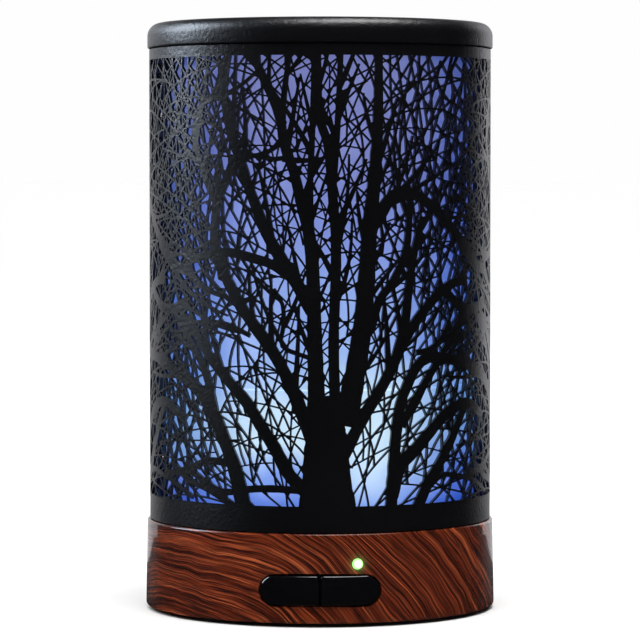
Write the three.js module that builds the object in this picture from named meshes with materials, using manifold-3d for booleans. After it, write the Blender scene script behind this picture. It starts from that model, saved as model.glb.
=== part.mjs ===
// Ultrasonic essential oil diffuser: a wood-grain base with the electronics, a translucent water tank,
// a translucent inner cover with a mist chimney, and a lift-off steel cover cut with a pattern of trees.
// Millimetres, +Z up. The origin is on the surface that the feet stand on, on the axis. The buttons face -Y.
import * as THREE from "three";
import { mergeVertices } from "three/addons/utils/BufferGeometryUtils.js";
import Module from "manifold-3d";

const wasm = await Module();
wasm.setup();

// ---- Driving dimensions ----
const GAP = 0.3; // clearance between pieces that touch in the real object
const FACETS = 40; // facets of a large round
const SMALL_FACETS = 12; // facets of a small round

const BASE = { radius: 48, topRadius: 47.6, bottom: 1, top: 24.6, inner: 45.4, edge: 0.6 };
const DECK = { top: 23.4, thick: 2, hole: 38 }; // the ledge inside the base that carries the tank
const COLLAR = { outer: 45.6, inner: 43.9, top: 28.6 }; // centres the steel cover
const FLOOR = { radius: 45, bottom: 1.3, top: 3.7 }; // the plate that closes the base
const FOOT = { radius: 4.3, height: 2, ring: 36 };
const BOSS = { ring: 41, radius: 2.8, bottom: 4 }; // screw bosses in the base

const TANK = { outer: 42.4, inner: 40.4, rim: 62, under: 27, flange: 43.5, flangeBottom: 25.2 };
const WELL = { hole: 8, bottom: 24.6, top: 26.6, radius: 13 }; // the mist well in the tank's floor
const DUCT = { x: 6, yNear: 25, yFar: 33, wall: 1.5, top: 59 }; // air duct moulded in the tank
const CLAMP = { ring: 17, bossRadius: 2.4, bossBottom: 22, bottom: 20.5, top: 21.7 };

const SLEEVE = { outer: 46.9, inner: 46.1, bottom: 24.9, top: 153.2 };
const TREES = 3; // the pattern repeats round the sleeve
const CAP = { radius: 47.4, bottom: 153.5, top: 160.4, edge: 3.5, thick: 2.2, hole: 10.2, plugDepth: 3 };
const COVER = { bottom: 62.3, shoulder: 146.5, top: 158, bore: 5.2, chimney: 6.8 }; // the inner cover

const BUTTON = { z: 9.7, halfWidth: 16, halfHeight: 4, crown: 48.35, switchX: 8 };
const LAMP = { x: 10, z: 16.7 };
const BOARD = { x: 24, near: -32.6, far: -8, bottom: 8.9, thick: 1.6 };
const KEY_BOARD_Y = -35; // front face of the upright button board
const FAN = { y: 25, half: 12.5, bottom: 12, top: 18, bore: 11.5, hole: 10 };
const JACK = { z: 8, radius: 3.2, near: 31.5, far: 44.8 };
const LED_BOARD = { inner: 21.2, outer: 29, bottom: 20.8, top: 22, ring: 25 };

// ---- Materials ----
function material(color, roughness, metalness = 0, opacity = 1) {
  return new THREE.MeshStandardMaterial({ color, roughness, metalness, opacity, transparent: opacity < 1 });
}
const woodGrain = material(0x5a2414, 0.3);
const blackPaint = material(0x0b0c10, 0.5, 0.3);
const blackPlastic = material(0x101012, 0.35);
const milkyPlastic = material(0xdfe4f5, 0.45, 0, 0.9);
const rubber = material(0x181818, 0.9);
const silicone = material(0xc9ccd0, 0.7);
const steel = material(0xb8bcc2, 0.3, 1);
const ceramic = material(0xd8d2c0, 0.4);
const boardGreen = material(0x17512f, 0.5);
const whitePlastic = material(0xe8e8e4, 0.5);
const copper = material(0xb06a30, 0.35, 0.9);
const leadRed = material(0xa81c1c, 0.6);
const leadBlack = material(0x151515, 0.6);
const ledWhite = material(0xf4f2d8, 0.3);
const lampGreen = material(0xb6f58a, 0.2);

// ---- Solids ----
// A closed three.js geometry as a manifold solid, with its faces turned outwards.
function solid(geometry) {
  const bare = geometry.index ? geometry.toNonIndexed() : geometry.clone();
  for (const name of Object.keys(bare.attributes)) {
    if (name !== "position") bare.deleteAttribute(name);
  }
  const merged = mergeVertices(bare, 1e-4);
  const corners = merged.index.array;
  const kept = [];
  for (let i = 0; i < corners.length; i += 3) {
    const [a, b, c] = corners.slice(i, i + 3);
    if (a !== b && b !== c && a !== c) kept.push(a, b, c);
  }
  const build = (triVerts) => new wasm.Manifold(new wasm.Mesh({
    numProp: 3,
    vertProperties: merged.attributes.position.array,
    triVerts: new Uint32Array(triVerts),
  }));
  const made = build(kept);
  return made.volume() > 0 ? made : build(kept.toReversed());
}

function union(...solids) {
  return solids.reduce((whole, next) => whole.add(next));
}

function cut(whole, ...tools) {
  return tools.reduce((left, tool) => left.subtract(tool), whole);
}

// A named mesh of a solid.
function piece(name, made, finish) {
  const { vertProperties, triVerts } = made.getMesh();
  const geometry = new THREE.BufferGeometry();
  geometry.setAttribute("position", new THREE.BufferAttribute(vertProperties, 3));
  geometry.setIndex(new THREE.BufferAttribute(triVerts, 1));
  geometry.computeVertexNormals();
  const mesh = new THREE.Mesh(geometry, finish);
  mesh.name = name;
  return mesh;
}

// A solid of revolution about Z from its closed outline of [radius, z] points.
function turned(outline, facets = FACETS) {
  const closed = [...outline, outline[0]].map(([r, z]) => new THREE.Vector2(r, z));
  return solid(new THREE.LatheGeometry(closed, facets).rotateX(Math.PI / 2));
}

// An upright cylinder.
function post(x, y, z0, z1, radius, facets = SMALL_FACETS) {
  const geometry = new THREE.CylinderGeometry(radius, radius, z1 - z0, facets);
  return solid(geometry.rotateX(Math.PI / 2).translate(x, y, (z0 + z1) / 2));
}

// A cylinder that lies along Y.
function rod(x, z, y0, y1, radius, facets = SMALL_FACETS) {
  const geometry = new THREE.CylinderGeometry(radius, radius, y1 - y0, facets);
  return solid(geometry.translate(x, (y0 + y1) / 2, z));
}

function block(x0, x1, y0, y1, z0, z1) {
  const geometry = new THREE.BoxGeometry(x1 - x0, y1 - y0, z1 - z0);
  return solid(geometry.translate((x0 + x1) / 2, (y0 + y1) / 2, (z0 + z1) / 2));
}

// A closed outline of [x, z] points carried along Y.
function alongY(outline, y0, y1) {
  const shape = new THREE.Shape(outline.map(([x, z]) => new THREE.Vector2(x, z)));
  const geometry = new THREE.ExtrudeGeometry(shape, { depth: y1 - y0, bevelEnabled: false });
  return solid(geometry.rotateX(Math.PI / 2).translate(0, y1, 0));
}

// A point at a radius and an angle in degrees from +X.
function polar(radius, degrees) {
  const angle = THREE.MathUtils.degToRad(degrees);
  return [radius * Math.cos(angle), radius * Math.sin(angle)];
}

// Half of the pill-shaped button outline, on the side given by sign, grown by a margin.
function halfPill(sign, margin, split) {
  const end = BUTTON.halfWidth - BUTTON.halfHeight;
  const radius = BUTTON.halfHeight + margin;
  const steps = 8;
  const outline = [[sign * split, BUTTON.z - radius]];
  for (let i = 0; i <= steps; i += 1) {
    const angle = -Math.PI / 2 + (Math.PI * i) / steps;
    outline.push([sign * (end + radius * Math.cos(angle)), BUTTON.z + radius * Math.sin(angle)]);
  }
  outline.push([sign * split, BUTTON.z + radius]);
  return sign > 0 ? outline : outline.reverse();
}

// ---- Base ----
function baseShell() {
  const { radius, topRadius, bottom, top, inner, edge } = BASE;
  let shell = turned([
    [radius - edge, bottom], [radius, bottom + edge],
    [topRadius, top - edge], [topRadius - edge, top],
    [COLLAR.outer, top], [COLLAR.outer, COLLAR.top],
    [COLLAR.inner, COLLAR.top], [COLLAR.inner, DECK.top],
    [DECK.hole, DECK.top], [DECK.hole, DECK.top - DECK.thick],
    [inner, DECK.top - DECK.thick], [inner + 0.1, bottom],
  ]);
  for (const angle of [45, 135, 225, 315]) {
    const [x, y] = polar(BOSS.ring, angle);
    shell = shell.add(post(x, y, BOSS.bottom, DECK.top - 1, BOSS.radius));
    shell = shell.subtract(post(x, y, BOSS.bottom - 1, 14, 1.4, 8));
  }
  const wallNear = -radius - 2;
  const wallFar = -inner + 5;
  const window = union(
    alongY(halfPill(1, GAP, -0.1), wallNear, wallFar),
    alongY(halfPill(-1, GAP, -0.1), wallNear, wallFar),
  );
  const lampHole = rod(LAMP.x, LAMP.z, wallNear, wallFar, 1.5);
  const socketHole = rod(0, JACK.z, inner - 3, radius + 2, 4.6, 24);
  return cut(shell, window, lampHole, socketHole);
}

function bottomCover() {
  let plate = post(0, 0, FLOOR.bottom, FLOOR.top, FLOOR.radius, FACETS);
  for (const angle of [0, 90, 180, 270]) {
    const [x, y] = polar(FOOT.ring, angle);
    plate = plate.subtract(post(x, y, FLOOR.bottom - 1, FOOT.height + GAP, FOOT.radius + GAP));
  }
  for (const angle of [45, 135, 225, 315]) {
    const [x, y] = polar(BOSS.ring, angle);
    plate = plate.subtract(post(x, y, FLOOR.bottom - 1, 2.5, 2.8, 12));
    plate = plate.subtract(post(x, y, 2, FLOOR.top + 1, 1.5, 8));
  }
  for (let y = 8; y <= 28; y += 4) {
    plate = plate.subtract(block(-13, 13, y - 1, y + 1, FLOOR.bottom - 1, FLOOR.top + 1));
  }
  for (const x of [-20, 20]) {
    plate = plate.add(post(x, -12, FLOOR.top - 0.5, BOARD.bottom - GAP, 2.4, 12));
    plate = plate.subtract(post(x, -12, FLOOR.top, BOARD.bottom, 1.3, 12));
  }
  return plate.add(post(0, -29, FLOOR.top - 0.5, BOARD.bottom - GAP, 2.4, 12));
}

// A pan-head screw pointing up, with a cross recess in its head.
function screw(x, y, headBottom, headRadius, headHeight, shankRadius, tip) {
  const shoulder = headBottom + headHeight;
  const body = turned([
    [0, headBottom], [headRadius - 0.3, headBottom], [headRadius, headBottom + 0.3],
    [headRadius, shoulder], [shankRadius, shoulder], [shankRadius, tip - 1], [0, tip],
  ], 8).translate([x, y, 0]);
  const arm = headRadius * 0.55;
  const depth = headBottom + headHeight * 0.5;
  return cut(
    body,
    block(x - arm, x + arm, y - 0.25, y + 0.25, headBottom - 1, depth),
    block(x - 0.25, x + 0.25, y - arm, y + arm, headBottom - 1, depth),
  );
}

// ---- Tank ----
function tank() {
  const { outer, inner, rim, under, flange, flangeBottom } = TANK;
  let vessel = turned([
    [WELL.hole, WELL.bottom], [WELL.radius, WELL.bottom], [WELL.radius, under],
    [38.6, under], [38.6, flangeBottom], [flange, flangeBottom], [flange, under + 0.6],
    [outer, under + 1.4], [outer, rim], [inner, rim], [inner, 31.5], [37.5, 29.4],
    [13, 28.8], [WELL.hole, WELL.top],
  ]);
  const { x, yNear, yFar, wall, top } = DUCT;
  vessel = vessel.add(block(-x - wall, x + wall, yNear - wall, yFar + wall, under + 0.5, top));
  for (const angle of [30, 150, 270]) {
    const [bx, by] = polar(CLAMP.ring, angle);
    vessel = vessel.add(post(bx, by, CLAMP.bossBottom, under + 0.5, CLAMP.bossRadius, 12));
    vessel = vessel.subtract(post(bx, by, CLAMP.bossBottom - 1, under - 0.5, 1.2, 12));
  }
  for (const side of [-1, 1]) {
    const bx = side * LED_BOARD.ring;
    vessel = vessel.add(post(bx, 0, LED_BOARD.top + GAP, under + 0.5, 2.2, 12));
    vessel = vessel.subtract(post(bx, 0, LED_BOARD.top, under - 0.5, 1.1, 12));
  }
  return vessel.subtract(block(-x, x, yNear, yFar, under - 1, top + 1));
}

function piezoClamp() {
  let plate = post(0, 0, CLAMP.bottom, CLAMP.top, 12, 24);
  for (const angle of [30, 150, 270]) {
    const [x, y] = polar(CLAMP.ring, angle);
    const arm = block(10, CLAMP.ring, -2.5, 2.5, CLAMP.bottom, CLAMP.top).rotate([0, 0, angle]);
    plate = union(plate, arm, post(x, y, CLAMP.bottom, CLAMP.top, 3.2));
    plate = plate.subtract(post(x, y, CLAMP.bottom - 1, CLAMP.top + 1, 1.3, 12));
  }
  return plate.subtract(post(0, 0, CLAMP.bottom - 1, CLAMP.top + 1, 7, 24));
}

function ledBoard() {
  const ring = turned([
    [LED_BOARD.inner, LED_BOARD.bottom], [LED_BOARD.outer, LED_BOARD.bottom],
    [LED_BOARD.outer, LED_BOARD.top], [LED_BOARD.inner, LED_BOARD.top],
  ], 40);
  const open = block(-40, 40, 6, 40, LED_BOARD.bottom - 1, LED_BOARD.top + 1);
  const holes = [-1, 1].map((side) => (
    post(side * LED_BOARD.ring, 0, LED_BOARD.bottom - 1, LED_BOARD.top + 1, 1.3, 12)));
  return cut(ring, open, ...holes);
}

// ---- Fan ----
function fanFrame() {
  const { y, half, bottom, top, bore, hole } = FAN;
  let frame = block(-half, half, y - half, y + half, bottom, top);
  frame = frame.subtract(post(0, y, bottom - 1, top + 1, bore, 24));
  const web = bottom + 1.1;
  frame = union(
    frame,
    post(0, y, bottom, web, 5.2, 24),
    block(-half + 0.5, half - 0.5, y - 0.8, y + 0.8, bottom, web),
    block(-0.8, 0.8, y - half + 0.5, y + half - 0.5, bottom, web),
  );
  const holes = [[-hole, -hole], [hole, -hole], [-hole, hole], [hole, hole]].map(([dx, dy]) => (
    post(dx, y + dy, bottom - 1, top + 1, 1.3, 12)));
  return cut(frame, ...holes);
}

function fanRotor() {
  const z0 = FAN.bottom + 1.6;
  const z1 = FAN.top - 0.3;
  let rotor = turned([
    [0, z0], [0.7, z0], [0.7, z1 - 0.8], [4.3, z1 - 0.8], [4.3, z0], [5, z0], [5, z1], [0, z1],
  ], 24);
  const blades = 7;
  const pitch = THREE.MathUtils.degToRad(38);
  for (let i = 0; i < blades; i += 1) {
    const blade = new THREE.BoxGeometry(6, 0.7, 4.4);
    blade.rotateX(pitch).translate(7.7, 0, (z0 + z1) / 2).rotateZ((2 * Math.PI * i) / blades);
    rotor = rotor.add(solid(blade));
  }
  return rotor.translate([0, FAN.y, 0]);
}

function fanStator() {
  const z0 = FAN.bottom + 1.1 + GAP;
  return turned([[1, z0], [3.7, z0], [3.7, FAN.top - 1.6], [1, FAN.top - 1.6]], 20)
    .translate([0, FAN.y, 0]);
}

// The adapter that carries the fan's air up to the duct in the tank.
function fanDuct() {
  const { y, half, bore } = FAN;
  const z0 = FAN.top + GAP;
  const roof = DECK.top - DECK.thick - GAP;
  const { x, yNear, yFar, wall } = DUCT;
  const hood = block(-half, half, y - half, y + half, z0, roof);
  const neck = block(-x - wall, x + wall, yNear - wall, yFar + wall, roof - 0.5, TANK.under - GAP);
  return cut(
    union(hood, neck),
    post(0, y, z0 - 1, roof - 0.8, bore - 0.2, 24),
    block(-x, x, yNear, yFar, z0, TANK.under),
    post(-FAN.hole, y - FAN.hole, z0 - 1, roof + 1, 1.3, 12),
    post(FAN.hole, y + FAN.hole, z0 - 1, roof + 1, 1.3, 12),
  );
}

// ---- Electronics ----
function mainBoard() {
  const { x, near, far, bottom, thick } = BOARD;
  const holes = [-20, 20].map((hx) => post(hx, -12, bottom - 1, bottom + thick + 1, 1.4, 12));
  return cut(block(-x, x, near, far, bottom, bottom + thick), ...holes);
}

// A drum-core choke: two flanges with the winding sunk between them.
function inductor(x, y, z) {
  return turned([
    [0, z], [4.5, z], [4.5, z + 1], [3.4, z + 1], [3.4, z + 5.5], [4.5, z + 5.5], [4.5, z + 6.5], [0, z + 6.5],
  ], 20).translate([x, y, 0]);
}

function heatSink(x, y, z) {
  let sink = block(x - 4, x + 4, y - 4, y + 4, z, z + 2);
  for (const dx of [-3.5, -1.2, 1.2, 3.5]) {
    sink = sink.add(block(x + dx - 0.5, x + dx + 0.5, y - 4, y + 4, z + 1, z + 8));
  }
  return sink;
}

function capacitor(x, y, z) {
  return turned([[0, z], [4, z], [4, z + 7.6], [3.6, z + 8], [0, z + 8]], 20).translate([x, y, 0]);
}

function switchBody(x) {
  const front = KEY_BOARD_Y - GAP - 3.5;
  const body = block(x - 3, x + 3, front, KEY_BOARD_Y - GAP, BUTTON.z - 3, BUTTON.z + 3);
  return body.subtract(rod(x, BUTTON.z, front - 1, front + 1.4, 2, 12));
}

function switchPlunger(x) {
  return rod(x, BUTTON.z, KEY_BOARD_Y - 5.3, KEY_BOARD_Y - 3.2, 1.6, 12);
}

// One half of the pill: a crowned cap, a retaining flange behind the wall, and a post to the switch.
function button(sign) {
  const height = BUTTON.z + 10;
  const shell = (outer, inner) => cut(
    post(0, 0, 0, height, outer, 2 * FACETS),
    post(0, 0, -1, height + 1, inner, 2 * FACETS),
  );
  const split = 0.15;
  const cap = alongY(halfPill(sign, 0, split), -60, -30).intersect(shell(BUTTON.crown, 43.9));
  const flange = alongY(halfPill(sign, 1, split), -60, -30).intersect(shell(45, 43.8));
  const stem = rod(sign * BUTTON.switchX, BUTTON.z, -44.2, KEY_BOARD_Y - 5.7, 1.6, 12);
  return union(cap, flange, stem);
}

function indicatorLens() {
  const tip = -Math.sqrt(BASE.topRadius ** 2 - LAMP.x ** 2) - 0.3;
  return union(
    rod(LAMP.x, LAMP.z, tip, KEY_BOARD_Y - 2.2, 1.2),
    rod(LAMP.x, LAMP.z, -43.4, -42.4, 1.8),
  );
}

function socket() {
  const body = block(-4.5, 4.5, JACK.near, JACK.far, JACK.z - 3.6, JACK.z + 3.6);
  return body.subtract(rod(0, JACK.z, JACK.near + 2.5, JACK.far + 1, JACK.radius, 24));
}

// A round insulated lead through its route's points.
function lead(points) {
  const path = new THREE.CatmullRomCurve3(points.map((p) => new THREE.Vector3(...p)));
  const radius = 0.6;
  const section = new THREE.Shape();
  section.absarc(0, 0, radius, 0, 2 * Math.PI);
  return solid(new THREE.ExtrudeGeometry(section, {
    steps: 10, extrudePath: path, curveSegments: 4, bevelEnabled: false,
  }));
}

// ---- Inner cover ----
// The chimney is a tube of its own, pressed into the hole in the roof.
function innerCover() {
  const { bottom, shoulder, chimney } = COVER;
  return turned([
    [TANK.outer, bottom], [41.8, shoulder], [40.7, shoulder + 3.4], [37.4, shoulder + 5.4],
    [chimney, shoulder + 7.4], [chimney, shoulder + 5.6], [38.4, shoulder + 3.2], [40.3, shoulder - 1],
    [40.7, bottom + 4.2], [38.6, bottom + 2.2], [38.6, bottom - 4.8], [40, bottom - 4.8], [40, bottom],
  ]);
}

function mistChimney() {
  const { shoulder, top, bore, chimney } = COVER;
  return turned([[chimney, shoulder - 2], [chimney, top], [bore - 0.4, top], [bore, shoulder - 2]]);
}

// ---- Outer cover ----
function topCap() {
  const { radius, bottom, top, edge, thick, hole, plugDepth } = CAP;
  const arc = [1, 2, 3].map((i) => {
    const angle = (Math.PI / 6) * i;
    return [radius - edge + edge * Math.cos(angle), top - edge + edge * Math.sin(angle)];
  });
  const plug = SLEEVE.inner - 0.4;
  return turned([
    [plug - 1.7, bottom - plugDepth], [plug, bottom - plugDepth], [plug, bottom], [radius, bottom],
    [radius, top - edge], ...arc, [hole + 1.6, top], [hole, top - 1.2],
    [hole, top - 3.4], [hole + 2, top - 3.4], [hole + 2, top - thick],
    [plug - 3.7, top - thick], [plug - 1.7, top - thick - 2],
  ]);
}

// The widest gaps between the limbs of one tree, each an outline of [across, height] points. Across is
// measured round the sleeve from the middle of the tree. The finer twigs fill the metal between them.
const GAPS_IN_TREE = [
  [[0.4, 80], [2.6, 100], [1, 124], [-0.8, 104]],
  [[-4.6, 116], [-2.6, 149], [-7, 149], [-9, 134]],
  [[-5.6, 96], [-6.4, 113], [-11.6, 131], [-19, 149], [-25.4, 149], [-21.5, 126], [-12, 104]],
  [[-14.5, 99.5], [-22.6, 119], [-27.4, 112], [-28.4, 101]],
  [[-33, 101], [-40.6, 126], [-41.4, 149], [-51, 149], [-50, 128], [-44, 99]],
  [[-30, 114], [-36, 127], [-36, 149], [-29.4, 149], [-26.4, 127]],
  [[-4.6, 64], [-15, 80.5], [-26, 96], [-10, 90], [-3.6, 80]],
  [[-6, 50], [-18, 72], [-31, 92], [-40, 93], [-43.6, 86], [-30, 73], [-13, 53.5]],
  [[-9, 38.5], [-24.5, 58.6], [-43, 76], [-51, 78], [-36, 64.6], [-28, 55], [-22.4, 38]],
  [[-27, 44.6], [-32, 53.6], [-44.6, 61], [-45, 57], [-35, 44]],
  [[6, 66], [10.2, 88], [13.4, 120], [14.2, 149], [7.6, 149], [5, 122]],
  [[14, 72], [19, 73], [22.6, 86], [24, 108.6], [16.6, 102]],
  [[24.6, 82], [36, 91.6], [44.6, 96.6], [29, 107.6]],
  [[17.8, 117], [22, 119], [25.4, 149], [18.8, 149]],
  [[25.4, 118], [30.6, 117], [34, 149], [28, 149]],
  [[33.6, 115.6], [39, 111.6], [44, 149], [37, 149]],
  [[8.6, 40], [17.4, 57], [17.6, 34], [9.6, 34]],
  [[22.6, 66], [33, 80], [50, 88.6], [52, 82], [40, 74.4]],
  [[23.4, 45.6], [36, 57.6], [48.6, 60.2], [48.6, 65.6], [34, 66.6], [26, 58]],
  [[22.6, 37], [29, 45.4], [43, 55.6], [28.6, 34]],
  [[35.6, 41], [48.6, 55.6], [54, 52], [46, 42]],
];

// A gap as a prism through the sleeve's wall, bent round the sleeve by an angle in radians.
function gapThroughWall(outline, turn) {
  const margin = 3;
  const outside = 10; // the prism's outer end is cut off flat between far corners, so it starts well outside
  const shape = new THREE.Shape(outline.map(([u, z]) => new THREE.Vector2(u, z)));
  const depth = SLEEVE.outer - SLEEVE.inner + margin + outside;
  const geometry = new THREE.ExtrudeGeometry(shape, { depth, bevelEnabled: false });
  const position = geometry.attributes.position;
  for (let i = 0; i < position.count; i += 1) {
    const angle = position.getX(i) / SLEEVE.outer + turn;
    const radius = SLEEVE.inner - margin + position.getZ(i);
    position.setXYZ(i, radius * Math.sin(angle), -radius * Math.cos(angle), position.getY(i));
  }
  return solid(geometry);
}

function sleeve() {
  const { outer, inner, bottom, top } = SLEEVE;
  let wall = turned([[inner, bottom], [outer, bottom], [outer, top], [inner, top]]);
  for (let i = 0; i < TREES; i += 1) {
    const turn = (2 * Math.PI * i) / TREES;
    wall = cut(wall, ...GAPS_IN_TREE.map((outline) => gapThroughWall(outline, turn)));
  }
  return wall;
}

// ---- Assembly ----
const diffuser = new THREE.Group();
const base = new THREE.Group();
const liftedInner = new THREE.Group();
const liftedOuter = new THREE.Group();
diffuser.add(base, liftedInner, liftedOuter);

base.add(
  piece("base_shell", baseShell(), woodGrain),
  piece("bottom_cover", bottomCover(), blackPlastic),
);
[0, 90, 180, 270].forEach((angle, i) => {
  const [x, y] = polar(FOOT.ring, angle);
  base.add(piece(`rubber_foot_${i + 1}`, post(x, y, 0, FOOT.height, FOOT.radius), rubber));
});
[45, 135, 225, 315].forEach((angle, i) => {
  const [x, y] = polar(BOSS.ring, angle);
  base.add(piece(`base_screw_${i + 1}`, screw(x, y, 1.4, 2.4, 0.8, 1.1, 12), steel));
});

const sealTop = TANK.flangeBottom - GAP;
const sealBottom = DECK.top + GAP;
base.add(
  piece("tank", tank(), milkyPlastic),
  piece("tank_seal", turned([[39, sealBottom], [43, sealBottom], [43, sealTop], [39, sealTop]]), silicone),
  piece("piezo_seal", turned([[8.2, 23.1], [11, 23.1], [11, 24.3], [8.2, 24.3]], 24), silicone),
  piece("piezo_disc", post(0, 0, 22, 22.8, 10, 24), ceramic),
  piece("piezo_clamp", piezoClamp(), steel),
);
[30, 150, 270].forEach((angle, i) => {
  const [x, y] = polar(CLAMP.ring, angle);
  base.add(piece(`clamp_screw_${i + 1}`, screw(x, y, 19.2, 2, 1, 0.8, 26), steel));
});

base.add(piece("led_board", ledBoard(), boardGreen));
[210, 270, 330].forEach((angle, i) => {
  const [x, y] = polar(LED_BOARD.ring, angle);
  const z = LED_BOARD.top + GAP;
  base.add(piece(`led_${i + 1}`, block(x - 1.8, x + 1.8, y - 1.8, y + 1.8, z, z + 1.4), ledWhite));
});
[-1, 1].forEach((side, i) => {
  const made = screw(side * LED_BOARD.ring, 0, 19.4, 2, 1, 0.8, 25.6);
  base.add(piece(`led_board_screw_${i + 1}`, made, steel));
});

base.add(
  piece("fan_frame", fanFrame(), blackPlastic),
  piece("fan_stator", fanStator(), copper),
  piece("fan_rotor", fanRotor(), blackPlastic),
  piece("fan_duct", fanDuct(), whitePlastic),
);
[-1, 1].forEach((side, i) => {
  const made = screw(side * FAN.hole, FAN.y + side * FAN.hole, 10.6, 2, 1, 0.9, 20.4);
  base.add(piece(`fan_screw_${i + 1}`, made, steel));
});

const boardTop = BOARD.bottom + BOARD.thick + GAP;
base.add(
  piece("main_board", mainBoard(), boardGreen),
  piece("capacitor", capacitor(-15, -24, boardTop), blackPlastic),
  piece("inductor", inductor(-4, -21, boardTop), copper),
  piece("heat_sink", heatSink(17, -24, boardTop), steel),
  piece("control_chip", block(4, 10, -24, -16, boardTop, boardTop + 1.5), blackPlastic),
  piece("fan_connector", block(-12, -7, -13, -9, boardTop, boardTop + 4), whitePlastic),
  piece("piezo_connector", block(-2.5, 2.5, -13, -9, boardTop, boardTop + 4), whitePlastic),
  piece("led_connector", block(7, 12, -13, -9, boardTop, boardTop + 4), whitePlastic),
);
[-20, 20].forEach((x, i) => {
  const made = screw(x, 12, -boardTop - 1, 2.2, 1, 0.9, -4.4).rotate([180, 0, 0]);
  base.add(piece(`board_screw_${i + 1}`, made, steel));
});

base.add(
  piece("button_board", block(-17, 17, KEY_BOARD_Y, KEY_BOARD_Y + 1.6, 4.9, 19.5), boardGreen),
  piece("button_header", block(-5, 5, KEY_BOARD_Y + 1.9, -29.5, boardTop, boardTop + 2.5), blackPlastic),
);
for (const [name, sign] of [["mist", -1], ["light", 1]]) {
  base.add(
    piece(`${name}_button`, button(sign), blackPlastic),
    piece(`${name}_switch`, switchBody(sign * BUTTON.switchX), blackPlastic),
    piece(`${name}_switch_plunger`, switchPlunger(sign * BUTTON.switchX), whitePlastic),
  );
}

const lampFace = KEY_BOARD_Y - GAP;
base.add(
  piece("indicator_lens", indicatorLens(), lampGreen),
  piece("indicator_led", block(LAMP.x - 1.5, LAMP.x + 1.5, lampFace - 1.5, lampFace, 15.7, 17.7), ledWhite),
  piece("power_socket", socket(), blackPlastic),
  piece("power_socket_pin", rod(0, JACK.z, JACK.near + 2.8, JACK.far - 1, 1.05, 12), steel),
);

const connectorTop = boardTop + 4 + GAP;
base.add(
  piece("fan_lead", lead([
    [-9.5, -11, connectorTop], [-10, -9, 17.4], [-15.5, 2, 17], [-16, 14, 15.4], [-13.4, 20, 15],
  ]), leadRed),
  piece("piezo_lead", lead([
    [0, -11, connectorTop], [0, -9.6, 17.2], [0, -5, 18.6], [0, -1.4, 19.4], [0, 0, 21.6],
  ]), leadBlack),
  piece("led_lead", lead([
    [9.5, -11, connectorTop], [10.4, -10.6, 17.2], [15, -10, 18.8], [21, -9, 19], [23.6, -8, 20.4],
  ]), leadRed),
  piece("power_lead", lead([
    [0, JACK.near - 0.4, JACK.z], [-3, 24, 6.8], [-10, 10, 6], [-10, -2, 6.6], [-10, BOARD.far + 0.7, 9.6],
  ]), leadBlack),
);

liftedInner.add(
  piece("inner_cover", innerCover(), milkyPlastic),
  piece("mist_chimney", mistChimney(), milkyPlastic),
);
liftedOuter.add(
  piece("outer_sleeve", sleeve(), blackPaint),
  piece("top_cap", topCap(), blackPaint),
);

export default diffuser;
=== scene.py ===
"""Essential oil diffuser: a wood-grain base with the electronics, a lit tank and inner cover, and a lift-off
steel cover cut with bare trees. Shapes are given in millimetres and written into the meshes in metres.
+Z is up, the buttons face -Y, and the feet stand on z = 0."""
from math import radians

import bmesh
import bpy
import numpy as np
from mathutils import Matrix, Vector
from mathutils.geometry import delaunay_2d_cdt


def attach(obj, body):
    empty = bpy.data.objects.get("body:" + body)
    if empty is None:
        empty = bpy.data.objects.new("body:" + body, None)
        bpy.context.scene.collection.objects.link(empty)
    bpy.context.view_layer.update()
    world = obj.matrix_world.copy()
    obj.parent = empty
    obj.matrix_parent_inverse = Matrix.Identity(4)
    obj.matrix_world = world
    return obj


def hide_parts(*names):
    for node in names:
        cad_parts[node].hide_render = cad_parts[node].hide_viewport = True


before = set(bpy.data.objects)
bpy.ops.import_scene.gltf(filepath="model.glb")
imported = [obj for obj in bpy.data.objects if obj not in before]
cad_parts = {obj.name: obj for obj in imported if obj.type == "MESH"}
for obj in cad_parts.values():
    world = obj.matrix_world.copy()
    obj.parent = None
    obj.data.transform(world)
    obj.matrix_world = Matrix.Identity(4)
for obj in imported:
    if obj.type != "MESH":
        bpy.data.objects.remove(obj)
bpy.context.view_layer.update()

# ---- Studio ----
# A camera a little above the base, a white table and a wide sun overhead. Softboxes stand high on the left,
# on the right and above, with a bright backdrop behind, and all but the one above show only as highlights.
# The room is dim, and white only where the camera looks past the table.
CAMERA_AT = (0.0, -0.931, 0.1183)
CAMERA_PITCH = radians(90 - 2.42)
CAMERA_LENS, CAMERA_SENSOR = 190, 36
TABLE_HALF = 60.0
ROOM_LIGHT = 0.02
SUN_STRENGTH, SUN_WIDTH = 3.84, radians(95)
AIM = Vector((0, 0, 0.09))
SOFTBOXES = {
    # place, size across and up, watts, colour
    "softbox_left": ((-0.60, 0.13, 0.41), (0.40, 0.44), 4.6, (0.76, 0.86, 1.0)),
    "softbox_right": ((0.40, 0.60, 0.24), (0.22, 0.50), 0.2, (0.92, 0.96, 1.0)),
    "backdrop": ((0.0, 1.30, 0.30), (2.60, 0.90), 5.6, (0.96, 0.96, 1.0)),
    "softbox_top": ((0.12, -0.10, 0.75), (0.5, 0.3), 3.0, (1.0, 1.0, 1.0)),
}


def node(tree, kind, inputs=(), **settings):
    """Adds a shader node. Each input is either a value or the socket that feeds it."""
    made = tree.nodes.new("ShaderNode" + kind)
    for key, value in settings.items():
        setattr(made, key, value)
    for key, value in dict(inputs).items():
        if isinstance(value, bpy.types.NodeSocket):
            tree.links.new(value, made.inputs[key])
        else:
            made.inputs[key].default_value = value
    return made


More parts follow.
